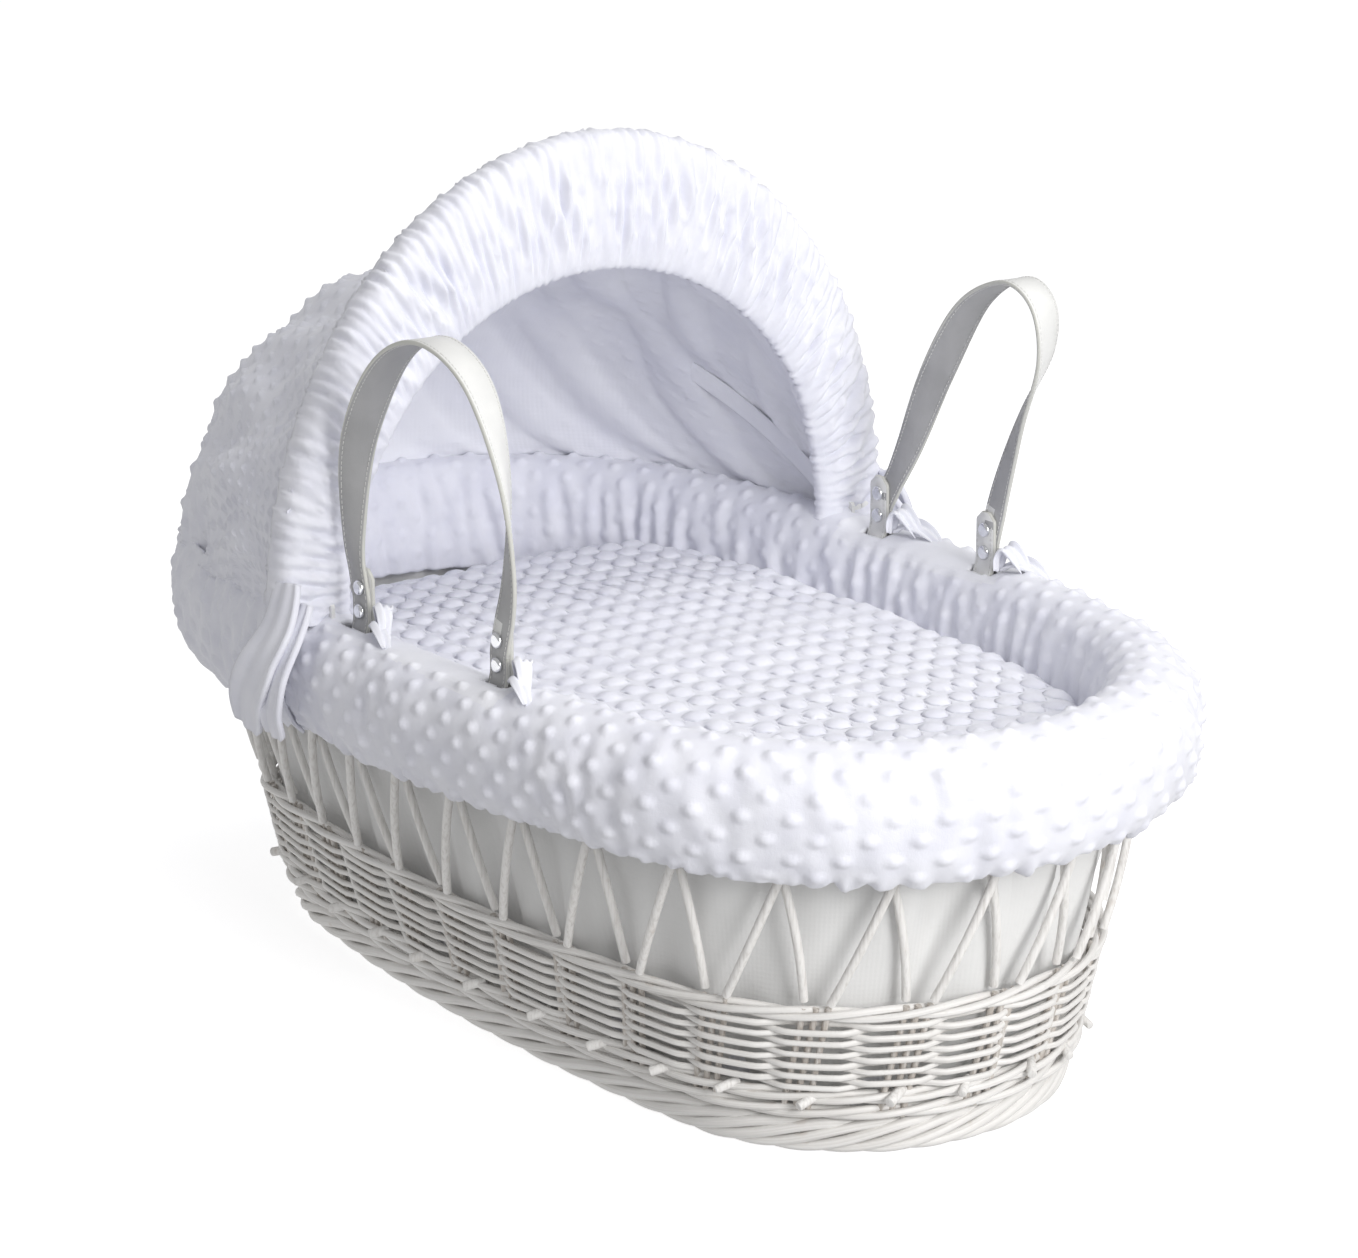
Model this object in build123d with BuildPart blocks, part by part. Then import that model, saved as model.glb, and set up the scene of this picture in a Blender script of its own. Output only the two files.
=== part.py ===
"""Wicker baby basket with a padded liner, a quilt, two carrying handles and a folding hood.

Millimetres.  The origin is the centre of the footprint on the floor, +X runs to the foot end,
the hood stands at -X, and +Z is up.  "Near" is the -Y side and "far" is the +Y side.
"""
import os
from math import asin, cos, degrees, pi, radians, sin, sqrt

from build123d import *

# ---------------------------------------------------------------- driving dimensions
# Basket wall: an oval of four tangent arcs that flares upwards, and flares less above the knee.
BASE_HALF_LENGTH = 362.7
BASE_HALF_WIDTH = 165.4
FLARE_LENGTH = 0.194
FLARE_WIDTH = 0.2696
KNEE_HEIGHT = 185.0
UPPER_FLARE_LENGTH = 0.04
UPPER_FLARE_WIDTH = 0.09
END_ROUNDNESS = 0.91
RIM_HEIGHT = 278.0
RIM_DIAMETER = 14.0

# Willow rods and bands of the wall, from the floor up.
FOOT_BORDER_HEIGHT = 28.0
FOOT_BORDER_WIDTH = 15.0
FOOT_BORDER_PROUD = 3.0
STAKE_DIAMETER = 4.4
STAKE_SPACING = 8.0
STAKE_GROUPS = 32
STAKES_PER_GROUP = 3
GROUP_SWING = 0.011
LOWER_WALE_HEIGHT = 21.5
LOWER_WALE_THICKNESS = 5.0
WEAVER_DIAMETER = 3.6
WEAVER_PITCH = 4.25
WEAVE_ROWS = 12
UPPER_WALE_HEIGHT = 11.5
UPPER_WALE_THICKNESS = 4.2
LATTICE_DIAMETER = 6.0
LATTICE_FOOT_SHIFT = 6.0
LATTICE_CROSS_SHIFT = 26.0
LATTICE_RIM_SHIFT = 56.0
ROD_GAP = 0.3
STAKE_GAP = 0.9
BAND_GAP = 0.5

# Woven base.
BASE_STICK_DIAMETER = 7.0
LONG_STICKS = 5
LONG_STICK_SPACING = 45.0
CROSS_STICKS = 11
CROSS_STICK_SPACING = 52.0
BASE_ROD_DIAMETER = 4.0
BASE_ROD_PITCH = 11.0
BASE_RODS = 11
BASE_ROD_HEIGHT = 6.5

# Soft furnishings.
LINING_THICKNESS = 2.0
LINING_TOP = RIM_HEIGHT - 16.0
COVER_THICKNESS = 1.5
MATTRESS_HEIGHT = 38.0
MATTRESS_INSET = 16.0
SOFT_GAP = 1.0
UNDERLAY_SHOULDER = RIM_HEIGHT - 70.0
UNDERLAY_TOP = RIM_HEIGHT - 52.0
COVERLET_HEIGHT = 26.0
COVERLET_HEAD_X = -262.0
COVERLET_CROWN_INSET = 22.0
BEDDING_INSET = 31.0

# Padded collar: heights and distances out from the wall, from the lower edge to the crest.
COLLAR_SHIFT = 6.0
COLLAR_LOWER_EDGE = RIM_HEIGHT - 66.0
COLLAR_CREST = RIM_HEIGHT + 25.0
COLLAR_OUTSIDE = ((COLLAR_LOWER_EDGE, 24.0), (RIM_HEIGHT - 43.0, 37.0), (RIM_HEIGHT - 16.0, 42.4),
                  (RIM_HEIGHT + 7.0, 33.0), (COLLAR_CREST, 6.0))
COLLAR_INSIDE_CREST = 14.0
COLLAR_CAVITY_OUT = 10.0
COLLAR_CAVITY_TOP = RIM_HEIGHT + 9.0
SLIT_WIDTH = 34.0
SLIT_FLOOR = RIM_HEIGHT - 19.0

# Handles: strap, rivets and the routes of the two straps in side view (x, height above the rim).
STRAP_WIDTH = 27.0
STRAP_END_WIDTH = 20.0
STRAP_THICKNESS = 3.0
STRAP_LOOP_CLEARANCE = 1.5
STRAP_SIDE_GAP = 3.0
STRAP_TAB_TOP = RIM_HEIGHT + 60.0
STRAP_TAB_CLIP = 9.0
STRAP_STATIONS = 18
STRAP_TWIST_START = 0.12
STRAP_TWIST_END = 0.85
STRAP_END_ALLOWANCE = 0.4
RIVET_HEIGHTS = (RIM_HEIGHT + 30.0, RIM_HEIGHT + 47.0)
RIVET_SHANK = 4.0
RIVET_HEAD = 11.0
RIVET_DOME = 2.6
RIVET_EDGE = 0.4
RIVET_CLEARANCE = 0.05
NEAR_DRAPE = ((-39, 38), (-47, 84), (-38, 152), (2, 213), (51, 235), (100, 215), (128, 158), (133, 92), (121, 38))
FAR_DRAPE = ((-25, 38), (4, 86), (38, 152), (78, 209), (124, 233), (154, 220), (158, 184), (134, 134),
             (114, 82), (101, 38))

# Hood: pivots, hoops and fabric.  Reach is measured from the pivot line to the crown.
PIVOT_X = -80.0
PIVOT_ABOVE_RIM = 22.0
HOOP_DIAMETER = 7.0
FRONT_HOOP_REACH = 294.0
HOOP_SPACING = 9.0
MID_HOOP_REACH = 297.0
MID_HOOP_ANGLE = 58.0
BOSS_DIAMETER = 14.0
BOSS_THICKNESS = 8.0
HOOP_LEG = 8.0
PIN_DIAMETER = 5.0
PIN_CLEARANCE = 0.05
PIN_HEAD_DIAMETER = 12.0
PIN_HEAD_THICKNESS = 2.5
BRACKET_THICKNESS = 3.0
BRACKET_WIDTH = 26.0
BRACKET_BELOW_RIM = 14.0
BRACKET_CLEARANCE = 2.9
SCREW_DIAMETER = 3.0
SCREW_LENGTH = 9.0
SCREW_SPACING = 16.0
CANOPY_THICKNESS = 2.5
CANOPY_GAP = 3.2
CANOPY_LIFT = 12.0
CANOPY_DIP = ((20.0, 252.0), (40.0, 250.0))
CANOPY_BACK = ((76.0, 342.0, 3.3), (87.0, 360.0, 5.3))
BAND_THICKNESS = 4.0
BAND_LIFT = 22.0
BAND_SIDE_WIDTH = 39.0
MOUTH_REACH = 212.0
SKIRT_BELOW_PIVOT = 6.0
SKIRT_FRONT_X = -104.0
TIE_LENGTH = 26.0
TIE_WIDTH = 10.0
TIE_THICKNESS = 4.0

# ---------------------------------------------------------------- derived values
WALE_INNER = STAKE_DIAMETER / 2 + STAKE_GAP
LOWER_WALE_BOTTOM = FOOT_BORDER_HEIGHT + BAND_GAP
LOWER_WALE_TOP = LOWER_WALE_BOTTOM + LOWER_WALE_HEIGHT
WEAVE_TOP = LOWER_WALE_TOP + WEAVER_PITCH * WEAVE_ROWS + BAND_GAP
UPPER_WALE_BOTTOM = WEAVE_TOP + BAND_GAP
UPPER_WALE_TOP = UPPER_WALE_BOTTOM + UPPER_WALE_HEIGHT
WEAVER_OFFSET = WALE_INNER + WEAVER_DIAMETER / 2
LATTICE_OFFSET = LATTICE_DIAMETER / 2 + ROD_GAP
LATTICE_END_CLEARANCE = LATTICE_DIAMETER / 2
LINING_OUTSIDE = -(WALE_INNER + LOWER_WALE_THICKNESS + 2 * BAND_GAP)
LINING_INSIDE = LINING_OUTSIDE - LINING_THICKNESS
LINING_FLOOR = FOOT_BORDER_HEIGHT + BAND_GAP
MATTRESS_BOTTOM = LINING_FLOOR + LINING_THICKNESS + SOFT_GAP
MATTRESS_TOP = MATTRESS_BOTTOM + MATTRESS_HEIGHT
COVERLET_BOTTOM = UNDERLAY_TOP + SOFT_GAP
COVERLET_TOP = COVERLET_BOTTOM + COVERLET_HEIGHT
COLLAR_CAVITY_IN = LINING_INSIDE - SOFT_GAP
LOOP_INNER_RADIUS = RIM_DIAMETER / 2 + STRAP_LOOP_CLEARANCE
LOOP_OUTER_RADIUS = LOOP_INNER_RADIUS + STRAP_THICKNESS
NEAR_ROUTE = [(x, RIM_HEIGHT + rise) for x, rise in NEAR_DRAPE]
FAR_ROUTE = [(x, RIM_HEIGHT + rise) for x, rise in FAR_DRAPE]
PIVOT_Z = RIM_HEIGHT + PIVOT_ABOVE_RIM
BRACKET_BOTTOM = RIM_HEIGHT - BRACKET_BELOW_RIM
BRACKET_TOP = PIVOT_Z + BOSS_DIAMETER / 2
SKIRT_TOP = PIVOT_Z - SKIRT_BELOW_PIVOT
SKIRT_THICKNESS = 2 * COLLAR_SHIFT - SOFT_GAP

PARTS_FOLDER = "parts"
os.makedirs(PARTS_FOLDER, exist_ok=True)


# ---------------------------------------------------------------- wall geometry
def wall(height, offset=0.0):
    """Half length, half width and end radius of the wall at a height, moved out by offset."""
    low = min(height, KNEE_HEIGHT)
    high = max(height - KNEE_HEIGHT, 0.0)
    half_length = BASE_HALF_LENGTH + FLARE_LENGTH * low + UPPER_FLARE_LENGTH * high
    half_width = BASE_HALF_WIDTH + FLARE_WIDTH * low + UPPER_FLARE_WIDTH * high
    return half_length + offset, half_width + offset, END_ROUNDNESS * half_width + offset


def side_radius(half_length, half_width, end_radius):
    """Radius of the long side arcs that meet the end arcs without a corner."""
    run = half_length - end_radius
    return (run**2 + half_width**2 - end_radius**2) / (2 * (half_width - end_radius))


def oval_outline(height, offset=0.0, shift=0.0):
    """The wall's oval at one height as a wire, moved out by offset."""
    half_length, half_width, end_radius = wall(height, offset)
    radius = side_radius(half_length, half_width, end_radius)
    run = half_length - end_radius
    join_x = run + end_radius * run / (radius - end_radius)
    join_y = end_radius * (radius - half_width) / (radius - end_radius)
    half_turn = sqrt((1 + (join_x - run) / end_radius) / 2)
    mid_x = run + end_radius * half_turn
    mid_y = end_radius * sqrt(1 - half_turn**2)
    with BuildLine(Plane.XY.offset(height)) as outline:
        ThreePointArc((half_length + shift, 0), (mid_x + shift, mid_y), (join_x + shift, join_y))
        ThreePointArc((join_x + shift, join_y), (shift, half_width), (shift - join_x, join_y))
        ThreePointArc((shift - join_x, join_y), (shift - half_length, 0), (shift - join_x, -join_y))
        ThreePointArc((shift - join_x, -join_y), (shift, -half_width), (shift + join_x, -join_y))
        ThreePointArc((join_x + shift, -join_y), (mid_x + shift, -mid_y), (half_length + shift, 0))
    return outline.wire()


def oval_loft(levels, shift=0.0):
    """A solid through ovals given as (height, distance out from the wall)."""
    with BuildPart() as solid:
        for height, offset in levels:
            with BuildSketch(Plane.XY.offset(height)):
                make_face(oval_outline(height, offset, shift).moved(Location((0, 0, -height))))
        loft(ruled=True)
    return solid.part


def oval_rod(height, offset, diameter):
    """A round rod bent to the wall's oval at one height."""
    with BuildPart() as rod:
        with BuildSketch(Plane(origin=(wall(height, offset)[0], 0, height), z_dir=(0, 1, 0))):
            Circle(diameter / 2)
        sweep(path=oval_outline(height, offset))
    return rod.part


def group_place(index):
    """Share of the way round the oval, from the foot end, of one group of stakes."""
    turn = (index + 0.5) / STAKE_GROUPS
    return turn - GROUP_SWING * sin(4 * pi * turn)


def rail_point(rail, place, shift=0.0):
    """Point on a rail at a share of its length, moved along it by a distance."""
    return rail @ ((place + shift / rail.length) % 1.0)


def rim_centre(x, side):
    """Centre of the rim rod at x on one side (-1 near, +1 far)."""
    half_length, half_width, end_radius = wall(RIM_HEIGHT)
    radius = side_radius(half_length, half_width, end_radius)
    return Vector(x, side * (half_width - radius + sqrt(radius**2 - x**2)), RIM_HEIGHT)


def straight_rod(start, end, diameter):
    """A round rod between two points."""
    with BuildPart() as rod:
        with BuildSketch(Plane(origin=start, z_dir=end - start)):
            Circle(diameter / 2)
        extrude(amount=(end - start).length)
    return rod.part


def bent_rod(start, middle, end, diameter):
    """A round rod bent to an arc through three points."""
    with BuildPart() as rod:
        with BuildLine() as route:
            ThreePointArc(start, middle, end)
        with BuildSketch(Plane(origin=start, z_dir=route.line % 0)):
            Circle(diameter / 2)
        sweep(path=route.wire())
    return rod.part


def finish(builder, name):
    """Label a finished piece and write it."""
    builder.part.label = name
    export_step(builder.part, f"{PARTS_FOLDER}/{name}.step")


# ---------------------------------------------------------------- woven base
BASE_ROD_TOP = BASE_ROD_HEIGHT + BASE_ROD_DIAMETER / 2
CROSS_STICK_HEIGHT = BASE_ROD_TOP + ROD_GAP + BASE_STICK_DIAMETER / 2
LONG_STICK_HEIGHT = CROSS_STICK_HEIGHT + BASE_STICK_DIAMETER + ROD_GAP
BORDER_INSIDE = FOOT_BORDER_PROUD - FOOT_BORDER_WIDTH


def half_chord(along, half_length, half_width, end_radius):
    """Half width of an oval at a distance along its length."""
    run = half_length - end_radius
    radius = side_radius(half_length, half_width, end_radius)
    join_x = run + end_radius * run / (radius - end_radius)
    if abs(along) > join_x:
        return sqrt(end_radius**2 - (abs(along) - run) ** 2)
    return half_width - radius + sqrt(radius**2 - along**2)


def base_oval(height):
    """Oval that the base sticks end on, just inside the foot border."""
    return wall(height, BORDER_INSIDE - ROD_GAP - BASE_STICK_DIAMETER / 2)


base_half_length, _, base_end_radius = base_oval(0)
cross_rods = []
for index in range(CROSS_STICKS):
    x = (index - (CROSS_STICKS - 1) / 2) * CROSS_STICK_SPACING
    reach = half_chord(x, *base_oval(0))
    cross_rods.append(straight_rod(Vector(x, -reach, CROSS_STICK_HEIGHT), Vector(x, reach, CROSS_STICK_HEIGHT),
                                   BASE_STICK_DIAMETER))
with BuildPart() as base_cross_sticks:
    add(cross_rods)
finish(base_cross_sticks, "base_cross_sticks")

long_rods = []
for index in range(LONG_STICKS):
    y = (index - (LONG_STICKS - 1) / 2) * LONG_STICK_SPACING
    reach = base_half_length - base_end_radius + sqrt(base_end_radius**2 - y**2)
    long_rods.append(straight_rod(Vector(-reach, y, LONG_STICK_HEIGHT), Vector(reach, y, LONG_STICK_HEIGHT),
                                  BASE_STICK_DIAMETER))
with BuildPart() as base_long_sticks:
    add(long_rods)
finish(base_long_sticks, "base_long_sticks")

first_rod_inset = BORDER_INSIDE - ROD_GAP - BASE_ROD_DIAMETER / 2
base_rods = [oval_rod(BASE_ROD_HEIGHT, first_rod_inset - BASE_ROD_PITCH * index, BASE_ROD_DIAMETER)
             for index in range(BASE_RODS)]
with BuildPart() as base_weave:
    add(base_rods)
finish(base_weave, "base_weave")

# ---------------------------------------------------------------- foot border and walls
def wall_band(low, high, inside, outside):
    """A band of the wall between two heights and two distances from the wall line."""
    outer = oval_loft(((low, outside), (high, outside)))
    inner = oval_loft(((low, inside), (high, inside)))
    with BuildPart() as band:
        add(outer)
        add(inner, mode=Mode.SUBTRACT)
    return band


foot_border = wall_band(0, FOOT_BORDER_HEIGHT, BORDER_INSIDE, FOOT_BORDER_PROUD)
finish(foot_border, "foot_border")
for name, low, high, thickness in (
    ("lower_wale", LOWER_WALE_BOTTOM, LOWER_WALE_TOP, LOWER_WALE_THICKNESS),
    ("upper_wale", UPPER_WALE_BOTTOM, UPPER_WALE_TOP, UPPER_WALE_THICKNESS),
):
    finish(wall_band(low, high, WALE_INNER, WALE_INNER + thickness), f"{name}_outside")
    finish(wall_band(low, high, -WALE_INNER - thickness, -WALE_INNER), f"{name}_inside")

for row in range(WEAVE_ROWS):
    row_height = LOWER_WALE_TOP + BAND_GAP + WEAVER_PITCH * (row + 0.5)
    weavers = [oval_rod(row_height, side * WEAVER_OFFSET, WEAVER_DIAMETER) for side in (1, -1)]
    with BuildPart() as weave_row:
        add(weavers)
    finish(weave_row, f"weave_row_{row + 1:02d}")

stake_foot_rail = oval_outline(FOOT_BORDER_HEIGHT + STAKE_DIAMETER / 4)
stake_top_rail = oval_outline(UPPER_WALE_TOP - STAKE_DIAMETER / 4)
stakes = []
for index in range(STAKE_GROUPS):
    for stake in range(STAKES_PER_GROUP):
        shift = (stake - (STAKES_PER_GROUP - 1) / 2) * STAKE_SPACING
        stakes.append(straight_rod(rail_point(stake_foot_rail, group_place(index), shift),
                                   rail_point(stake_top_rail, group_place(index), shift), STAKE_DIAMETER))
with BuildPart() as side_stakes:
    add(stakes)
finish(side_stakes, "side_stakes")

strap_feet = [(NEAR_ROUTE[0][0], -1), (NEAR_ROUTE[-1][0], -1), (FAR_ROUTE[0][0], 1), (FAR_ROUTE[-1][0], 1)]


def rim_end(rail, place, shift):
    """Rim end of a lattice rod; it steps aside along the rim where a strap loop passes."""
    point = rail_point(rail, place, shift)
    beside_strap = STRAP_END_WIDTH / 2 + LATTICE_DIAMETER / 2 + STRAP_SIDE_GAP
    for strap_x, side in strap_feet:
        gap = point.X - strap_x
        if point.Y * side > 0 and abs(gap) < beside_strap:
            push = beside_strap - abs(gap)
            return rail_point(rail, place, shift - side * (push if gap > 0 else -push))
    return point


lattice_foot = UPPER_WALE_TOP + LATTICE_END_CLEARANCE
lattice_top = RIM_HEIGHT - RIM_DIAMETER / 2 - LATTICE_END_CLEARANCE
for name, lean in (("lattice_rods_outside", 1), ("lattice_rods_inside", -1)):
    foot_rail = oval_outline(lattice_foot, lean * LATTICE_OFFSET)
    cross_rail = oval_outline(KNEE_HEIGHT, lean * LATTICE_OFFSET)
    rim_rail = oval_outline(lattice_top, lean * LATTICE_OFFSET)
    leaning_rods = [bent_rod(rail_point(foot_rail, group_place(index), lean * LATTICE_FOOT_SHIFT),
                             rail_point(cross_rail, group_place(index), lean * LATTICE_CROSS_SHIFT),
                             rim_end(rim_rail, group_place(index), lean * LATTICE_RIM_SHIFT),
                             LATTICE_DIAMETER) for index in range(STAKE_GROUPS)]
    with BuildPart() as lattice_rods:
        add(leaning_rods)
    finish(lattice_rods, name)

rim_rod = oval_rod(RIM_HEIGHT, 0, RIM_DIAMETER)
with BuildPart() as rim_border:
    add(rim_rod)
finish(rim_border, "rim_border")

# ---------------------------------------------------------------- lining and bedding
lining_outer = oval_loft(((LINING_FLOOR, LINING_OUTSIDE), (KNEE_HEIGHT, LINING_OUTSIDE),
                          (LINING_TOP, LINING_OUTSIDE)))
lining_hollow = oval_loft(((LINING_FLOOR + LINING_THICKNESS, LINING_INSIDE), (KNEE_HEIGHT, LINING_INSIDE),
                           (LINING_TOP, LINING_INSIDE)))
with BuildPart() as lining_bag:
    add(lining_outer)
    add(lining_hollow, mode=Mode.SUBTRACT)
finish(lining_bag, "lining_bag")

cover_outer = oval_loft(((MATTRESS_BOTTOM, -MATTRESS_INSET), (MATTRESS_TOP, -MATTRESS_INSET)))
cover_hollow = oval_loft(((MATTRESS_BOTTOM + COVER_THICKNESS, -MATTRESS_INSET - COVER_THICKNESS),
                          (MATTRESS_TOP - COVER_THICKNESS, -MATTRESS_INSET - COVER_THICKNESS)))
with BuildPart() as mattress_cover:
    add(cover_outer)
    add(cover_hollow, mode=Mode.SUBTRACT)
finish(mattress_cover, "mattress_cover")

foam_gap = COVER_THICKNESS + SOFT_GAP / 2
foam_block = oval_loft(((MATTRESS_BOTTOM + foam_gap, -MATTRESS_INSET - foam_gap),
                        (MATTRESS_TOP - foam_gap, -MATTRESS_INSET - foam_gap)))
with BuildPart() as mattress_foam:
    add(foam_block)
finish(mattress_foam, "mattress_foam")

cushion_body = oval_loft(((MATTRESS_TOP + SOFT_GAP, -MATTRESS_INSET), (KNEE_HEIGHT, -MATTRESS_INSET),
                          (UNDERLAY_SHOULDER, -MATTRESS_INSET)))
cushion_crown = oval_loft(((UNDERLAY_SHOULDER, -BEDDING_INSET), (UNDERLAY_TOP, -BEDDING_INSET)))
with BuildPart() as underlay_cushion:
    add(cushion_body)
    add(cushion_crown)
finish(underlay_cushion, "underlay_cushion")

quilt = oval_loft(((COVERLET_BOTTOM, -BEDDING_INSET), (COVERLET_BOTTOM + COVERLET_HEIGHT / 2, -BEDDING_INSET),
                   (COVERLET_TOP, -BEDDING_INSET - COVERLET_CROWN_INSET)))
with BuildPart() as coverlet:
    add(quilt)
    split(bisect_by=Plane(origin=(COVERLET_HEAD_X, 0, 0), z_dir=(1, 0, 0)), keep=Keep.TOP)
finish(coverlet, "coverlet")

# ---------------------------------------------------------------- padded collar
slit_places = strap_feet + [(PIVOT_X, -1), (PIVOT_X, 1)]
slit_depth = COLLAR_CREST - SLIT_FLOOR + SOFT_GAP
collar_outer = oval_loft(COLLAR_OUTSIDE, COLLAR_SHIFT)
collar_well = oval_loft(((COLLAR_LOWER_EDGE, -BEDDING_INSET + SOFT_GAP), (RIM_HEIGHT, -BEDDING_INSET + SOFT_GAP),
                         (COLLAR_CREST, -COLLAR_INSIDE_CREST)))
rim_channel = wall_band(COLLAR_LOWER_EDGE, COLLAR_CAVITY_TOP, COLLAR_CAVITY_IN, COLLAR_CAVITY_OUT)
with BuildPart() as padded_collar:
    add(collar_outer)
    add(collar_well, mode=Mode.SUBTRACT)
    add(rim_channel.part, mode=Mode.SUBTRACT)
    for slit_x, side in slit_places:
        with Locations((slit_x, side * wall(RIM_HEIGHT)[1], SLIT_FLOOR)):
            Box(SLIT_WIDTH, 4 * SLIT_WIDTH, slit_depth, align=(Align.CENTER, Align.CENTER, Align.MIN),
                mode=Mode.SUBTRACT)
finish(padded_collar, "padded_collar")


# ---------------------------------------------------------------- handles
def strap_point(route, side, share):
    """Point of a strap's middle line, and its direction, at a share of its length."""
    left, right = rim_centre(route[0][0], side), rim_centre(route[-1][0], side)

    def lifted(x, z):
        y = left.Y + (right.Y - left.Y) * (x - left.X) / (right.X - left.X)
        return Vector(x, y + side * STRAP_THICKNESS / 2, z)

    with BuildLine() as line:
        Spline(*[lifted(x, z) for x, z in route], tangents=((0, 0, 1), (0, 0, -1)))
    return line.line @ share, line.line % share


def strap_sections(route, side):
    """Planes across the strap: flat along the rim at its feet, turning to lie across the top."""
    crown = max(z for _, z in route)
    foot = route[0][1]
    for station in range(STRAP_STATIONS + 1):
        point, along = strap_point(route, side, station / STRAP_STATIONS)
        climb = (point.Z - foot) / (crown - foot)
        turned = (climb - STRAP_TWIST_START) / (STRAP_TWIST_END - STRAP_TWIST_START)
        twist = radians(90 * min(max(turned, 0.0), 1.0))
        across = Vector(along.Z, 0, -along.X) * cos(twist) + Vector(0, 1, 0) * sin(twist)
        width = STRAP_END_WIDTH + (STRAP_WIDTH - STRAP_END_WIDTH) * sin(twist)
        yield Plane(origin=point, x_dir=across, z_dir=along), width


def strap_band(route, side):
    """The strap between its two riveted ends."""
    with BuildPart() as band:
        for plane, width in strap_sections(route, side):
            with BuildSketch(plane):
                Rectangle(width, STRAP_THICKNESS)
        loft(ruled=True)
    return band.part


def strap_end(foot, side, band_foot):
    """The strap's end: it loops round the rim rod and comes back up inside as a clipped tab."""
    layer = STRAP_THICKNESS + STRAP_END_ALLOWANCE
    width = STRAP_END_WIDTH + 2 * STRAP_END_ALLOWANCE
    with BuildPart() as end:
        with BuildSketch(Plane(origin=(foot.X - width / 2, foot.Y, foot.Z), x_dir=(0, 1, 0), z_dir=(1, 0, 0))):
            Circle(LOOP_OUTER_RADIUS)
            with Locations((0, (band_foot - RIM_HEIGHT) / 2)):
                Rectangle(2 * layer, band_foot - RIM_HEIGHT)
            Circle(LOOP_INNER_RADIUS, mode=Mode.SUBTRACT)
            with Locations((-side * (layer + STRAP_END_ALLOWANCE) / 2, (STRAP_TAB_TOP + band_foot) / 2 - RIM_HEIGHT)):
                Rectangle(layer - STRAP_END_ALLOWANCE, STRAP_TAB_TOP - band_foot)
        extrude(amount=width)
        tab_corners = end.edges().filter_by(Axis.Y).group_by(Axis.Z)[-1]
        chamfer(tab_corners, length=STRAP_TAB_CLIP)
    return end.part


def rivet(centre):
    """A double-cap rivet through the two layers of strap."""
    grip = STRAP_THICKNESS + STRAP_END_ALLOWANCE
    with BuildPart() as stud:
        with Locations(Location(centre, (90, 0, 0))):
            Cylinder(RIVET_SHANK / 2, 2 * grip + RIVET_DOME)
        with Locations(Location(centre + Vector(0, grip + RIVET_DOME / 2, 0), (90, 0, 0)),
                       Location(centre - Vector(0, grip + RIVET_DOME / 2, 0), (90, 0, 0))):
            Cylinder(RIVET_HEAD / 2, RIVET_DOME)
        rims = stud.edges().filter_by(GeomType.CIRCLE).sort_by(Axis.Y)
        fillet((rims[0], rims[-1]), radius=RIVET_DOME - RIVET_EDGE)
    return stud.part


for name, route, side in (("near", NEAR_ROUTE, -1), ("far", FAR_ROUTE, 1)):
    feet = [rim_centre(x, side) for x in (route[0][0], route[-1][0])]
    pieces = [strap_band(route, side)] + [strap_end(foot, side, route[0][1]) for foot in feet]
    holes = [Vector(foot.X, foot.Y, height) for foot in feet for height in RIVET_HEIGHTS]
    with BuildPart() as handle_strap:
        add(pieces)
        for hole in holes:
            with Locations(Location(hole, (90, 0, 0))):
                Cylinder(RIVET_SHANK / 2 + RIVET_CLEARANCE, 4 * STRAP_THICKNESS, mode=Mode.SUBTRACT)
    finish(handle_strap, f"handle_strap_{name}")
    studs = [rivet(hole) for hole in holes]
    with BuildPart() as handle_rivets:
        add(studs)
    finish(handle_rivets, f"handle_rivets_{name}")


# ---------------------------------------------------------------- hood frame
def fold_plane(angle):
    """Plane through the pivot line, leaning back from upright; its y runs up the hood."""
    lean = radians(angle)
    return Plane(origin=(PIVOT_X, 0, PIVOT_Z), x_dir=(0, 1, 0), z_dir=(cos(lean), 0, sin(lean)))


def hoop(angle, half_width, reach):
    """A bent hoop with a boss for the pivot pin at each end."""
    plane = fold_plane(angle)
    with BuildPart() as bow:
        with BuildLine(plane) as route:
            Line((half_width, 0), (half_width, HOOP_LEG))
            EllipticalCenterArc((0, HOOP_LEG), half_width, reach - HOOP_LEG, start_angle=0, arc_size=180)
            Line((-half_width, HOOP_LEG), (-half_width, 0))
        with BuildSketch(Plane(origin=route.line @ 0, z_dir=route.line % 0)):
            Circle(HOOP_DIAMETER / 2)
        sweep(path=route.wire())
        for side in (-1, 1):
            with Locations(Location((PIVOT_X, side * half_width, PIVOT_Z), (90, 0, 0))):
                Cylinder(BOSS_DIAMETER / 2, BOSS_THICKNESS)
        for side in (-1, 1):
            with Locations(Location((PIVOT_X, side * half_width, PIVOT_Z), (90, 0, 0))):
                Cylinder(PIN_DIAMETER / 2 + PIN_CLEARANCE, 2 * BOSS_DIAMETER, mode=Mode.SUBTRACT)
    return bow


bracket_inside = rim_centre(PIVOT_X + BRACKET_WIDTH / 2, 1).Y + RIM_DIAMETER / 2 + ROD_GAP
bracket_outside = bracket_inside + BRACKET_THICKNESS
mid_half_width = bracket_outside + BRACKET_CLEARANCE + BOSS_THICKNESS / 2
front_half_width = mid_half_width + HOOP_SPACING
mid_boss = (mid_half_width - BOSS_THICKNESS / 2, mid_half_width + BOSS_THICKNESS / 2)
front_boss = (front_half_width - BOSS_THICKNESS / 2, front_half_width + BOSS_THICKNESS / 2)
hood_front_hoop = hoop(0, front_half_width, FRONT_HOOP_REACH)
finish(hood_front_hoop, "hood_front_hoop")
hood_mid_hoop = hoop(MID_HOOP_ANGLE, mid_half_width, MID_HOOP_REACH)
finish(hood_mid_hoop, "hood_mid_hoop")
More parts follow.
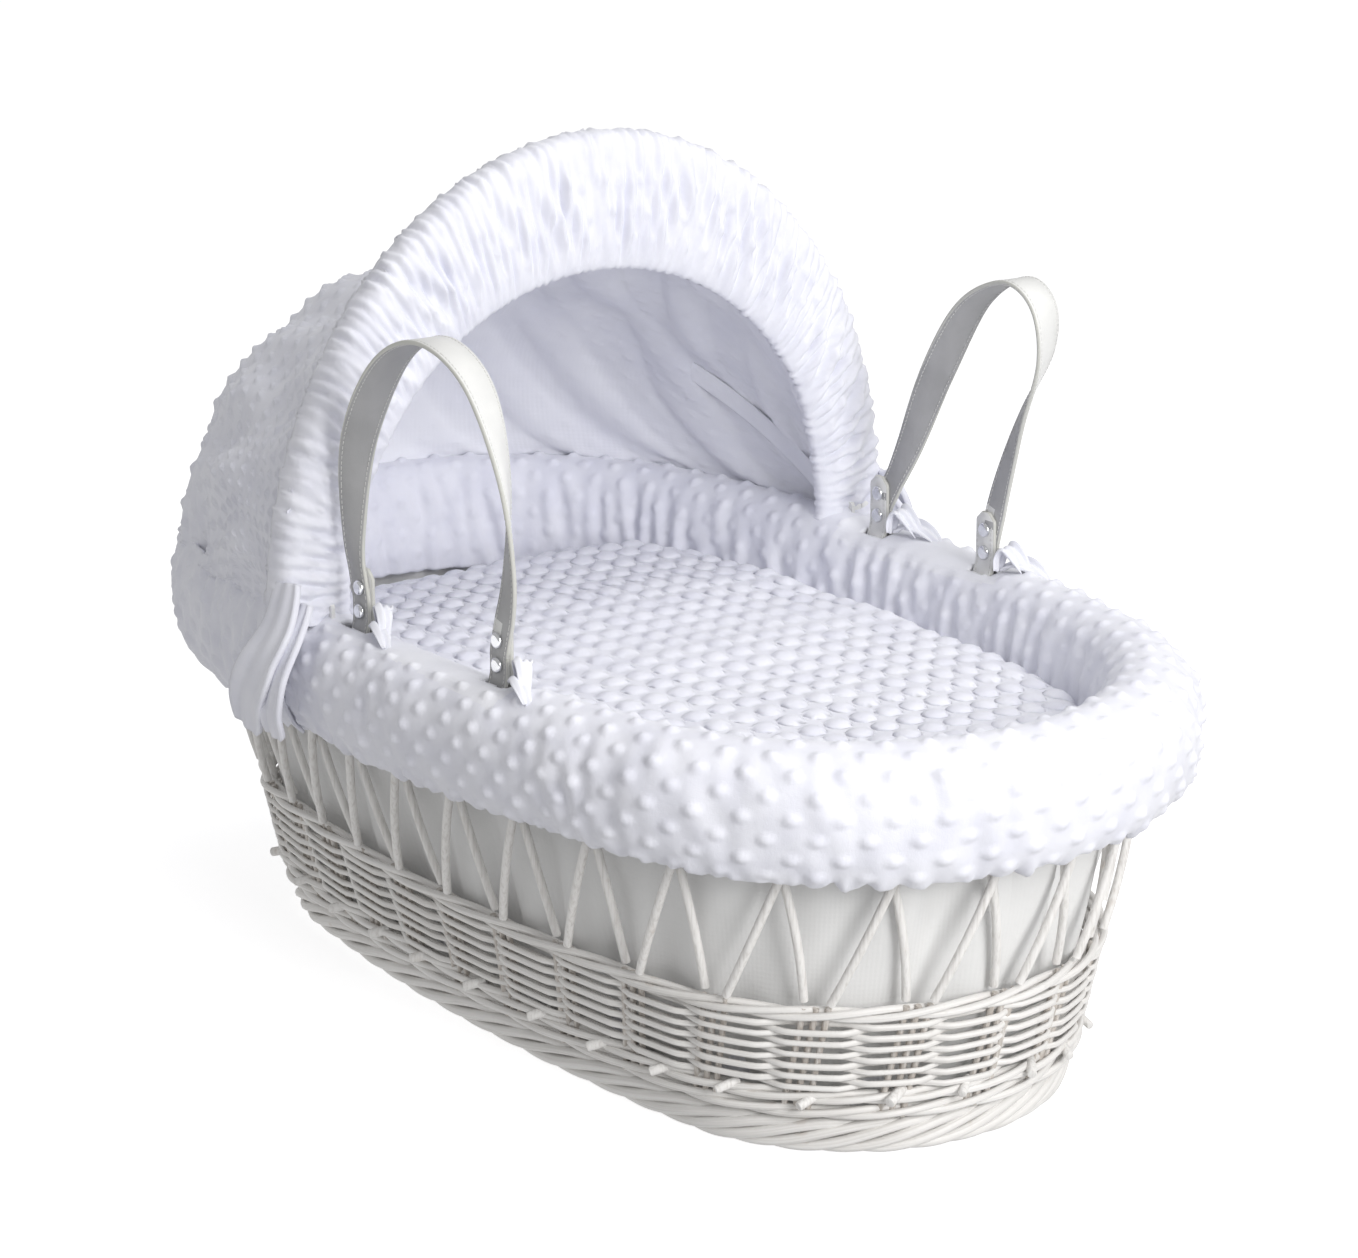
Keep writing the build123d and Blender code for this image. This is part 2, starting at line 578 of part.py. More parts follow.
pin_end = front_boss[1] + ROD_GAP
screw_places = [PIVOT_X - SCREW_SPACING / 2, PIVOT_X + SCREW_SPACING / 2]


def disc(x, z, start, end, radius, side):
    """A round disc or shank along Y between two distances from the middle."""
    with BuildPart() as piece:
        with Locations(Location((x, side * (start + end) / 2, z), (90, 0, 0))):
            Cylinder(radius, end - start)
    return piece.part


bracket_pieces, pin_pieces, spacer_pieces, screw_pieces = [], [], [], []
for side in (-1, 1):
    with BuildPart() as plate:
        with Locations((PIVOT_X, side * (bracket_inside + bracket_outside) / 2, (BRACKET_BOTTOM + BRACKET_TOP) / 2)):
            Box(BRACKET_WIDTH, BRACKET_THICKNESS, BRACKET_TOP - BRACKET_BOTTOM)
        fillet(plate.edges().filter_by(Axis.Y), radius=BRACKET_THICKNESS)
        add(disc(PIVOT_X, PIVOT_Z, 0, 2 * bracket_outside, PIN_DIAMETER / 2 + PIN_CLEARANCE, side),
            mode=Mode.SUBTRACT)
        for screw_x in screw_places:
            add(disc(screw_x, RIM_HEIGHT, 0, 2 * bracket_outside, SCREW_DIAMETER / 2 + PIN_CLEARANCE, side),
                mode=Mode.SUBTRACT)
    bracket_pieces.append(plate.part)
    pin_pieces.append(disc(PIVOT_X, PIVOT_Z, bracket_inside, pin_end, PIN_DIAMETER / 2, side))
    pin_pieces.append(disc(PIVOT_X, PIVOT_Z, pin_end, pin_end + PIN_HEAD_THICKNESS, PIN_HEAD_DIAMETER / 2, side))
    pin_pieces.append(disc(PIVOT_X, PIVOT_Z, bracket_inside - PIN_HEAD_THICKNESS, bracket_inside,
                           PIN_HEAD_DIAMETER / 2, side))
    for start, end in ((bracket_outside, mid_boss[0]), (mid_boss[1], front_boss[0])):
        ring = disc(PIVOT_X, PIVOT_Z, start + ROD_GAP, end - ROD_GAP, BOSS_DIAMETER / 2 - ROD_GAP, side)
        bore = disc(PIVOT_X, PIVOT_Z, start, end, PIN_DIAMETER / 2 + PIN_CLEARANCE, side)
        with BuildPart() as spacer:
            add(ring)
            add(bore, mode=Mode.SUBTRACT)
        spacer_pieces.append(spacer.part)
    for screw_x in screw_places:
        screw_pieces.append(disc(screw_x, RIM_HEIGHT, bracket_outside - SCREW_LENGTH, bracket_outside,
                                 SCREW_DIAMETER / 2, side))
        screw_pieces.append(disc(screw_x, RIM_HEIGHT, bracket_outside, bracket_outside + SCREW_DIAMETER / 2,
                                 SCREW_DIAMETER, side))

for name, pieces in (("hood_brackets", bracket_pieces), ("hood_pivot_pins", pin_pieces),
                     ("hood_pivot_spacers", spacer_pieces), ("hood_bracket_screws", screw_pieces)):
    with BuildPart() as hardware:
        add(pieces)
    finish(hardware, name)


# ---------------------------------------------------------------- hood fabric
canopy_front = (front_half_width + HOOP_DIAMETER / 2 + CANOPY_GAP,
                FRONT_HOOP_REACH + HOOP_DIAMETER / 2 + CANOPY_GAP)
canopy_mid_reach = MID_HOOP_REACH + HOOP_DIAMETER / 2 + CANOPY_GAP
canopy_sections = [(0.0, canopy_front[1], canopy_front[0])]
canopy_sections += [(angle, reach, canopy_front[0]) for angle, reach in CANOPY_DIP]
canopy_sections += [(MID_HOOP_ANGLE, canopy_mid_reach, canopy_front[0])]
canopy_sections += [(angle, reach, canopy_front[0] + spread) for angle, reach, spread in CANOPY_BACK]


def canopy_loft(thickness, lift):
    """Solid under the canopy's arches, grown by a thickness and cut off at a lift above the pivots."""
    with BuildPart() as shell:
        for angle, reach, half_width in canopy_sections:
            across, tall = half_width + thickness, reach + thickness
            start = degrees(asin(lift / tall))
            with BuildSketch(fold_plane(angle)):
                with BuildLine():
                    bow = EllipticalCenterArc((0, 0), across, tall, start_angle=start, arc_size=180 - 2 * start)
                    Line(bow @ 1, bow @ 0)
                make_face()
        loft(ruled=True)
    return shell.part


canopy_outer = canopy_loft(CANOPY_THICKNESS, CANOPY_LIFT)
canopy_inner = canopy_loft(0, CANOPY_LIFT / 4)
with BuildPart() as hood_canopy:
    add(canopy_outer)
    add(canopy_inner, mode=Mode.SUBTRACT)
finish(hood_canopy, "hood_canopy")

with BuildPart() as hood_front_band:
    with BuildSketch(Plane(origin=(PIVOT_X - BAND_THICKNESS / 2, 0, PIVOT_Z), x_dir=(0, 1, 0), z_dir=(1, 0, 0))):
        Ellipse(front_half_width - HOOP_DIAMETER / 2 - ROD_GAP, FRONT_HOOP_REACH - HOOP_DIAMETER / 2 - ROD_GAP)
        Ellipse(front_half_width - BAND_SIDE_WIDTH, MOUTH_REACH, mode=Mode.SUBTRACT)
        with Locations((0, BAND_LIFT - 2 * FRONT_HOOP_REACH)):
            Rectangle(4 * FRONT_HOOP_REACH, 4 * FRONT_HOOP_REACH, mode=Mode.SUBTRACT)
    extrude(amount=BAND_THICKNESS)
finish(hood_front_band, "hood_front_band")

skirt_levels = [(z, offset) for z, offset in COLLAR_OUTSIDE if z < SKIRT_TOP]
skirt_outer = oval_loft([(z, offset + SOFT_GAP + SKIRT_THICKNESS) for z, offset in skirt_levels], COLLAR_SHIFT)
skirt_inner = oval_loft([(z, offset + SOFT_GAP) for z, offset in skirt_levels], COLLAR_SHIFT)
with BuildPart() as hood_skirt:
    add(skirt_outer)
    add(skirt_inner, mode=Mode.SUBTRACT)
    split(bisect_by=Plane(origin=(SKIRT_FRONT_X, 0, 0), z_dir=(1, 0, 0)), keep=Keep.BOTTOM)
finish(hood_skirt, "hood_skirt")

# ---------------------------------------------------------------- ribbon ties
tie_y = wall(RIM_HEIGHT)[1] + COLLAR_OUTSIDE[2][1] + SOFT_GAP + TIE_THICKNESS / 2
with BuildPart() as hood_ties:
    with Locations((SKIRT_FRONT_X + TIE_LENGTH / 2 + SOFT_GAP, -tie_y, SLIT_FLOOR),
                   (SKIRT_FRONT_X + TIE_LENGTH / 2 + SOFT_GAP, tie_y, SLIT_FLOOR)):
        Box(TIE_LENGTH, TIE_THICKNESS, TIE_WIDTH)
finish(hood_ties, "hood_ties")
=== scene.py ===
"""Looks of a wicker baby basket with a padded liner, a quilt, strap handles and a gathered hood.

Metres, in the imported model's own frame: the foot end at +X, the hood at -X, the near side at -Y and +Z up.
The willow pieces are swept rods, the soft goods are cloth grids bent to the basket's oval, and the dots
of the plush are raised from the cloth itself.
"""

import logging
import math
from dataclasses import dataclass
from enum import Enum
from typing import Callable, Sequence

import bmesh
import bpy
import numpy as np
from mathutils import Matrix, Vector
from mathutils.kdtree import KDTree


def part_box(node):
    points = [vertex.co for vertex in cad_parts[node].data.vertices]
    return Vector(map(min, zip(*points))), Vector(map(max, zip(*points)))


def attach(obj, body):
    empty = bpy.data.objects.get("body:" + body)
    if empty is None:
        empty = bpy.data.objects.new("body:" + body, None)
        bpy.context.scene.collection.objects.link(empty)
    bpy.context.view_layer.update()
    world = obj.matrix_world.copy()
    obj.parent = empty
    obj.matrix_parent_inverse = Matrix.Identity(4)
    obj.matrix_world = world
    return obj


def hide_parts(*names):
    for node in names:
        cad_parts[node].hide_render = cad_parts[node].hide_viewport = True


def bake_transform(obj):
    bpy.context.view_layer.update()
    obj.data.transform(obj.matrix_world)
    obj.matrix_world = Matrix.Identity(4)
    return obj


LOG = logging.getLogger("baby_basket")
MERGE = 1e-5


class Coordinates(Enum):
    """Which coordinates a finish follows."""

    OBJECT = "Object"
    CLOTH = "UV"


# ---------------------------------------------------------------- finishes
class Shader:
    """A procedural material while its nodes are put together."""

    def __init__(self, name: str) -> None:
        """Start a material with a plain Principled shader."""
        self.material = bpy.data.materials.new(name)
        self.material.use_nodes = True
        self.tree = self.material.node_tree
        self.surface = self.tree.nodes["Principled BSDF"]

    def node(self, kind: str, sockets: dict | None = None, **settings: object) -> bpy.types.Node:
        """Add a node.

        Args:
            kind: the node's type name without its ShaderNode prefix.
            sockets: values, or sockets to link from, by input name.
            settings: the node's own properties.

        Returns:
            The new node.
        """
        made = self.tree.nodes.new("ShaderNode" + kind)
        for name, value in settings.items():
            setattr(made, name, value)
        for name, value in (sockets or {}).items():
            self.feed(made, name, value)
        return made

    def feed(self, node: bpy.types.Node, name: str, value: object) -> None:
        """Give an input a value, or link a socket to it."""
        if isinstance(value, bpy.types.NodeSocket):
            self.tree.links.new(value, node.inputs[name])
        else:
            node.inputs[name].default_value = value

    def coordinates(self, which: Coordinates, scale: Sequence[float]) -> bpy.types.NodeSocket:
        """Scaled coordinates of a piece.

        Args:
            which: the piece's own space or its cloth map, in metres either way.
            scale: factors along the three directions.

        Returns:
            The vector socket.
        """
        source = self.node("TexCoord").outputs[which.value]
        return self.node("Mapping", {"Vector": source, "Scale": scale}).outputs["Vector"]

    def noise(self, vector: bpy.types.NodeSocket, scale: float,
              detail: float = 3.0) -> bpy.types.NodeSocket:
        """Value of a noise texture."""
        return self.node("TexNoise", {"Vector": vector, "Scale": scale, "Detail": detail}).outputs["Fac"]

    def ramp(self, factor: bpy.types.NodeSocket,
             stops: Sequence[tuple[float, tuple]]) -> bpy.types.NodeSocket:
        """Colour ramp over a factor, from (place, colour) stops."""
        made = self.node("ValToRGB", {"Fac": factor})
        elements = made.color_ramp.elements
        while len(elements) < len(stops):
            elements.new(0.5)
        for element, (place, colour) in zip(elements, stops):
            element.position = place
            element.color = (*colour, 1.0)
        return made.outputs["Color"]

    def bump(self, height: bpy.types.NodeSocket, strength: float, distance: float,
             below: bpy.types.NodeSocket | None = None) -> bpy.types.NodeSocket:
        """Normal from a height, laid over another normal if one is given."""
        sockets = {"Height": height, "Strength": strength, "Distance": distance}
        if below is not None:
            sockets["Normal"] = below
        return self.node("Bump", sockets).outputs["Normal"]

    def finish(self, **sockets: object) -> bpy.types.Material:
        """Set the Principled shader's inputs, spelled with _ for a space, and return the material."""
        for name, value in sockets.items():
            self.feed(self.surface, name.replace("_", " "), value)
        return self.material


@dataclass(frozen=True)
class PaintedWillow:
    """Off-white paint over willow: streaked along the rod, thin and brownish where it wore."""

    name: str
    coordinates: Coordinates
    stretch: tuple[float, float, float]
    light: tuple = (0.80, 0.785, 0.765)
    dull: tuple = (0.655, 0.635, 0.61)
    bare: tuple = (0.47, 0.38, 0.30)

    def make(self) -> bpy.types.Material:
        """Build the material."""
        shader = Shader(self.name)
        along = shader.coordinates(self.coordinates, self.stretch)
        even = shader.coordinates(self.coordinates, (1, 1, 1))
        streaks = shader.noise(along, 1.0, 5)
        blotches = shader.noise(even, 55.0, 2)
        paint = shader.ramp(streaks, ((0.30, self.dull), (0.52, self.light), (0.80, (0.85, 0.84, 0.825))))
        worn = shader.ramp(blotches, ((0.66, (0, 0, 0)), (0.78, (1, 1, 1))))
        colour = shader.node("Mix", {"Factor": worn}, data_type="RGBA")
        shader.tree.links.new(paint, colour.inputs[6])
        colour.inputs[7].default_value = (*self.bare, 1.0)
        share = shader.node("Math", {0: worn, 1: 0.35}, operation="MULTIPLY")
        shader.feed(colour, "Factor", share.outputs[0])
        fibre = shader.bump(streaks, 0.55, 0.0006)
        lumps = shader.bump(shader.noise(even, 260.0, 2), 0.3, 0.0008, fibre)
        rough = shader.node("MapRange", {"Value": streaks, "To Min": 0.36, "To Max": 0.6})
        return shader.finish(Base_Color=colour.outputs[2], Roughness=rough.outputs["Result"],
                             Normal=lumps)


@dataclass(frozen=True)
class DimplePlush:
    """Short-napped white plush; its raised dots are in the cloth's mesh."""

    name: str = "dimple_plush"
    colour: tuple = (0.835, 0.84, 0.905)
    shade: tuple = (0.775, 0.78, 0.86)

    def make(self) -> bpy.types.Material:
        """Build the material."""
        shader = Shader(self.name)
        even = shader.coordinates(Coordinates.OBJECT, (1, 1, 1))
        nap = shader.noise(even, 1500.0, 4)
        drift = shader.noise(even, 38.0, 3)
        colour = shader.ramp(drift, ((0.32, self.shade), (0.62, self.colour)))
        brushed = shader.bump(shader.noise(even, 320.0, 3), 0.22, 0.0010)
        rough = shader.node("MapRange", {"Value": nap, "To Min": 0.78, "To Max": 0.98})
        return shader.finish(Base_Color=colour, Roughness=rough.outputs["Result"], Sheen_Weight=0.35,
                             Sheen_Roughness=0.45, Normal=shader.bump(nap, 0.35, 0.0006, brushed))


@dataclass(frozen=True)
class PlainCotton:
    """Plain-woven cotton: warp and weft threads with soft unevenness."""

    name: str
    colour: tuple
    shade: tuple
    thread: float = 0.0009

    def make(self) -> bpy.types.Material:
        """Build the material."""
        shader = Shader(self.name)
        cloth = shader.coordinates(Coordinates.CLOTH, (1, 1, 1))
        waves = [shader.node("TexWave", {"Vector": cloth, "Scale": 1 / self.thread / math.tau * 0.5,
                                         "Distortion": 0.6, "Detail": 1.0},
                                         bands_direction=axis).outputs["Fac"]
                 for axis in ("X", "Y")]
        weave = shader.node("Math", {0: waves[0], 1: waves[1]}, operation="ADD").outputs[0]
        drift = shader.noise(cloth, 14.0, 4)
        colour = shader.ramp(drift, ((0.3, self.shade), (0.65, self.colour)))
        threads = shader.bump(weave, 0.12, 0.0004)
        rough = shader.node("MapRange", {"Value": drift, "To Min": 0.8, "To Max": 0.95})
        return shader.finish(Base_Color=colour, Roughness=rough.outputs["Result"], Sheen_Weight=0.15,
                             Normal=shader.bump(shader.noise(cloth, 700.0, 3), 0.2, 0.0005, threads))


@dataclass(frozen=True)
class GrainedLeather:
    """Coated leather with a fine pebble grain."""

    name: str
    colour: tuple
    shade: tuple
    roughness: float
    grain: float = 900.0

    def make(self) -> bpy.types.Material:
        """Build the material."""
        shader = Shader(self.name)
        cloth = shader.coordinates(Coordinates.CLOTH, (1, 1, 1))
        pebbles = shader.node("TexVoronoi", {"Vector": cloth, "Scale": self.grain}).outputs["Distance"]
        drift = shader.noise(cloth, 30.0, 4)
        colour = shader.ramp(drift, ((0.35, self.shade), (0.6, self.colour)))
        rough = shader.node("MapRange", {"Value": drift, "To Min": self.roughness - 0.06,
                                         "To Max": self.roughness + 0.08})
        return shader.finish(Base_Color=colour, Roughness=rough.outputs["Result"],
                             Normal=shader.bump(pebbles, 0.16, 0.0006))


@dataclass(frozen=True)
class PolishedMetal:
    """Metal with faint handling marks."""

    name: str
    colour: tuple
    roughness: float

    def make(self) -> bpy.types.Material:
        """Build the material."""
        shader = Shader(self.name)
        even = shader.coordinates(Coordinates.OBJECT, (1, 1, 1))
        marks = shader.noise(even, 600.0, 5)
        rough = shader.node("MapRange", {"Value": marks, "To Min": self.roughness * 0.6,
                                         "To Max": self.roughness * 1.6})
        colour = shader.ramp(marks, ((0.3, tuple(c * 0.9 for c in self.colour)), (0.7, self.colour)))
        return shader.finish(Base_Color=colour, Metallic=1.0, Roughness=rough.outputs["Result"],
                             Normal=shader.bump(marks, 0.05, 0.0002))


@dataclass(frozen=True)
class MouldedPlastic:
    """Satin plastic, enamel or foam with a fine surface texture."""

    name: str
    colour: tuple
    roughness: float
    texture: float = 900.0

    def make(self) -> bpy.types.Material:
        """Build the material."""
        shader = Shader(self.name)
        even = shader.coordinates(Coordinates.OBJECT, (1, 1, 1))
        skin = shader.noise(even, self.texture, 4)
        colour = shader.ramp(skin, ((0.3, tuple(c * 0.95 for c in self.colour)), (0.7, self.colour)))
        rough = shader.node("MapRange", {"Value": skin, "To Min": self.roughness - 0.08,
                                         "To Max": self.roughness + 0.08})
        return shader.finish(Base_Color=colour, Roughness=rough.outputs["Result"],
                             Normal=shader.bump(skin, 0.12, 0.0004))


class Finishes:
    """Every material of the object, made once."""

    def __init__(self) -> None:
        """Build the materials."""
        self.rod = PaintedWillow("painted_willow_rod", Coordinates.CLOTH, (9, 420, 1)).make()
        self.upright = PaintedWillow("painted_willow_upright", Coordinates.OBJECT, (520, 520, 22)).make()
        # The stakes get a darker copy of the willow finish: painted shade of the gaps between the woven
        # rows, with the willow's own wear patches on top.
        self.shade_darkened_stake = PaintedWillow("shade_darkened_worn_willow_stake", Coordinates.OBJECT, (520, 520, 22),
                                   (0.56, 0.52, 0.48),
                                   (0.44, 0.40, 0.36), (0.34, 0.27, 0.21)).make()
        self.plush = DimplePlush().make()
        self.cotton = PlainCotton("white_cotton", (0.86, 0.865, 0.91), (0.80, 0.805, 0.87)).make()
        self.lining = PlainCotton("lining_cotton", (0.80, 0.80, 0.795), (0.745, 0.745, 0.74)).make()
        self.strap_face = GrainedLeather("strap_face", (0.80, 0.80, 0.785), (0.74, 0.74, 0.73),
                                         0.42).make()
        self.strap_back = GrainedLeather("strap_back", (0.43, 0.43, 0.435), (0.37, 0.37, 0.375),
                                         0.55).make()
        self.strap_edge = MouldedPlastic("strap_edge", (0.60, 0.60, 0.56), 0.5).make()
        self.thread = MouldedPlastic("strap_thread", (0.70, 0.70, 0.68), 0.7, 3000).make()
        self.chrome = PolishedMetal("polished_rivet", (0.82, 0.83, 0.85), 0.14).make()
        self.steel = PolishedMetal("bright_steel", (0.66, 0.66, 0.67), 0.28).make()
        self.plastic = MouldedPlastic("white_plastic", (0.80, 0.80, 0.78), 0.4).make()
        self.enamel = MouldedPlastic("white_enamel", (0.78, 0.78, 0.77), 0.3, 400).make()


# ---------------------------------------------------------------- shapes
def smooth_line(points: Sequence[Sequence[float]], count: int) -> np.ndarray:
    """An even walk along a smooth curve through some points.

    Args:
        points: the points, of any dimension.
        count: how many places to return.

    Returns:
        An array of count points, spaced evenly along the curve.
    """
    p = np.array(points, float)
    ends = np.vstack([2 * p[0] - p[1], p, 2 * p[-1] - p[-2]])
    fine = []
    for a, b, c, d in zip(ends, ends[1:], ends[2:], ends[3:]):
        for t in np.linspace(0, 1, 24, endpoint=False):
            fine.append(0.5 * (2 * b + (c - a) * t + (2 * a - 5 * b + 4 * c - d) * t**2
                               + (3 * b - a - 3 * c + d) * t**3))
    fine = np.array(fine + [p[-1]])
    length = np.concatenate([[0], np.cumsum(np.linalg.norm(np.diff(fine, axis=0), axis=1))])
    wanted = np.linspace(0, length[-1], count)
    return np.stack([np.interp(wanted, length, fine[:, k]) for k in range(fine.shape[1])], axis=1)


def ease(value: np.ndarray, low: float, high: float) -> np.ndarray:
    """0 below low, 1 above high, and a smooth step between."""
    t = np.clip((value - low) / (high - low), 0, 1)
    return t * t * (3 - 2 * t)


def unit(vectors: np.ndarray) -> np.ndarray:
    """Vectors scaled to length one."""
    return vectors / np.maximum(np.linalg.norm(vectors, axis=-1, keepdims=True), 1e-12)


def crumple(along: np.ndarray, across: np.ndarray, period: float, wave: float, stretch: float,
            seed: int, waves: int = 8) -> np.ndarray:
    """Soft uneven folds that meet up after one period.

    Args:
        along: distance along the cloth.
        across: distance across it.
        period: length after which the folds repeat along the cloth.
        wave: usual distance from fold to fold.
        stretch: how many times longer a fold is across the cloth than it is wide.
        seed: picks the pattern.
        waves: how many waves are added.

    Returns:
        Heights of about -1 to 1.
    """
    random = np.random.default_rng(seed)
    total = np.zeros_like(along)
    for _ in range(waves):
        turns = max(1, round(period / wave * random.uniform(0.6, 1.5)))
        slant = random.uniform(-1.4, 1.4) / (wave * stretch)
        total += np.sin(math.tau * (turns * along / period + slant * across) + random.uniform(0,
                                                                                              math.tau))
    return total / math.sqrt(waves)


@dataclass(frozen=True)
class Dots:
    """The plush's raised dots, in staggered rows."""

    pitch: float = 0.027
    row: float = 0.014
    radius: float = 0.0056
    height: float = 0.0032
    staggered: bool = True

    def raise_at(self, along: np.ndarray, across: np.ndarray, period: float | None = None) -> np.ndarray:
        """Height of the dots over a cloth.

        Args:
            along: distance along the rows.
            across: distance from row to row.
            period: length that has to hold a whole number of dots.

        Returns:
            The height at each place, in metres.
        """
        pitch = self.pitch if period is None else period / round(period / self.pitch)
        height = np.zeros_like(along)
        first = np.floor(across / self.row)
        for step in (0, 1):
            row = first + step
            shift = (row % 2) * pitch / 2 if self.staggered else 0.0
            aside = (along - shift + pitch / 2) % pitch - pitch / 2
            share = np.clip(1 - (aside**2 + (across - row * self.row) ** 2) / self.radius**2, 0, 1)
            height = np.maximum(height, share**1.25)
        return self.height * height


def add_object(name: str, mesh: bpy.types.Mesh, finish: bpy.types.Material,
               smooth: bool = True) -> bpy.types.Object:
    """Put a mesh in the scene as a piece with its first finish."""
    piece = bpy.data.objects.new(name, mesh)
    bpy.context.scene.collection.objects.link(piece)
    mesh.materials.append(finish)
    mesh.polygons.foreach_set("use_smooth", [smooth] * len(mesh.polygons))
    return piece


def bend_cloth(name: str, points: np.ndarray, flat: np.ndarray, finish: bpy.types.Material,
               ends_filled: bool = False) -> bpy.types.Object:
    """Bend a grid of cloth to a shape; edges that meet are joined.

    Args:
        name: the piece's name.
        points: rows by columns of points.
        flat: the same grid's two distances on the flat cloth, for its map.
        finish: the material.
        ends_filled: whether open ends are closed with a face.

    Returns:
        The piece.
    """
    rows, columns = points.shape[0] - 1, points.shape[1] - 1
    grid = bmesh.new()
    bmesh.ops.create_grid(grid, x_segments=columns, y_segments=rows, size=0.5)
    mesh = bpy.data.meshes.new(name)
    grid.to_mesh(mesh)
    grid.free()
    place = np.zeros(len(mesh.vertices) * 3, np.float32)
    mesh.vertices.foreach_get("co", place)
    place = place.reshape(-1, 3)
    column = np.rint((place[:, 0] + 0.5) * columns).astype(int)
    row = np.rint((place[:, 1] + 0.5) * rows).astype(int)
    corner = np.zeros(len(mesh.loops), np.int32)
    mesh.loops.foreach_get("vertex_index", corner)
    layer = mesh.uv_layers.new(name="UVMap")
    layer.data.foreach_set("uv", flat[row, column][corner].astype(np.float32).ravel())
    mesh.vertices.foreach_set("co", points[row, column].astype(np.float32).ravel())
    joined = bmesh.new()
    joined.from_mesh(mesh)
    bmesh.ops.remove_doubles(joined, verts=joined.verts, dist=MERGE)
    if ends_filled:
        bmesh.ops.holes_fill(joined, edges=[e for e in joined.edges if e.is_boundary], sides=0)
    if ends_filled or not any(e.is_boundary for e in joined.edges):
        bmesh.ops.recalc_face_normals(joined, faces=joined.faces)
    joined.to_mesh(mesh)
    joined.free()
    mesh.update()
    return add_object(name, mesh, finish)


def grid_normals(points: np.ndarray) -> np.ndarray:
    """Normals of a grid of points, from its rows and columns."""
    return unit(np.cross(np.gradient(points, axis=1), np.gradient(points, axis=0)))


def sweep_section(name: str, path: np.ndarray, side: np.ndarray, lift: np.ndarray, section: np.ndarray,
                  finish: bpy.types.Material, looped: bool) -> bpy.types.Object:
    """Sweep a closed section along a path.

    Args:
        name: the piece's name.
        path: the path's points; a looped path ends where it starts.
        side: direction of the section's first axis at each point.
        lift: direction of its second axis at each point.
        section: the section's points, either one loop or one loop for each point of the path.
        finish: the material.
        looped: whether the path closes on itself.

    Returns:
        The piece.
    """
    loops = np.broadcast_to(section, (len(path), *section.shape[-2:]))
    loops = np.concatenate([loops, loops[:, :1]], axis=1)
    points = (path[:, None, :] + loops[..., :1] * side[:, None, :] + loops[..., 1:] * lift[:, None, :])
    steps = np.linalg.norm(np.diff(path, axis=0), axis=1)
    along = np.concatenate([[0], np.cumsum(steps)])
    edges = np.linalg.norm(np.diff(loops, axis=1), axis=2)
    around = np.concatenate([np.zeros((len(path), 1)), np.cumsum(edges, axis=1)], axis=1)
    flat = np.stack([np.broadcast_to(along[:, None], around.shape), around], axis=2)
    return bend_cloth(name, points, flat, finish, ends_filled=not looped)


def round_section(half_wide: float, half_high: float, sides: int = 8) -> np.ndarray:
    """An oval section with the given half width and half height."""
    turn = np.linspace(0, math.tau, sides, endpoint=False)
    return np.stack([half_wide * np.cos(turn), half_high * np.sin(turn)], axis=1)


def join_pieces(name: str, pieces: Sequence[bpy.types.Object]) -> bpy.types.Object:
    """Join pieces that share a finish into one."""
    whole = bmesh.new()
    for piece in pieces:
        whole.from_mesh(piece.data)
    mesh = bpy.data.meshes.new(name)
    whole.to_mesh(mesh)
    whole.free()
    finish = pieces[0].data.materials[0]
    for piece in pieces:
        bpy.data.objects.remove(piece)
    return add_object(name, mesh, finish)


def thicken(piece: bpy.types.Object, thickness: float, offset: float = -1.0) -> None:
    """Give a sheet its thickness with a live modifier."""
    wall = piece.modifiers.new("thickness", "SOLIDIFY")
    wall.thickness = thickness
    wall.offset = offset
    wall.use_rim = True


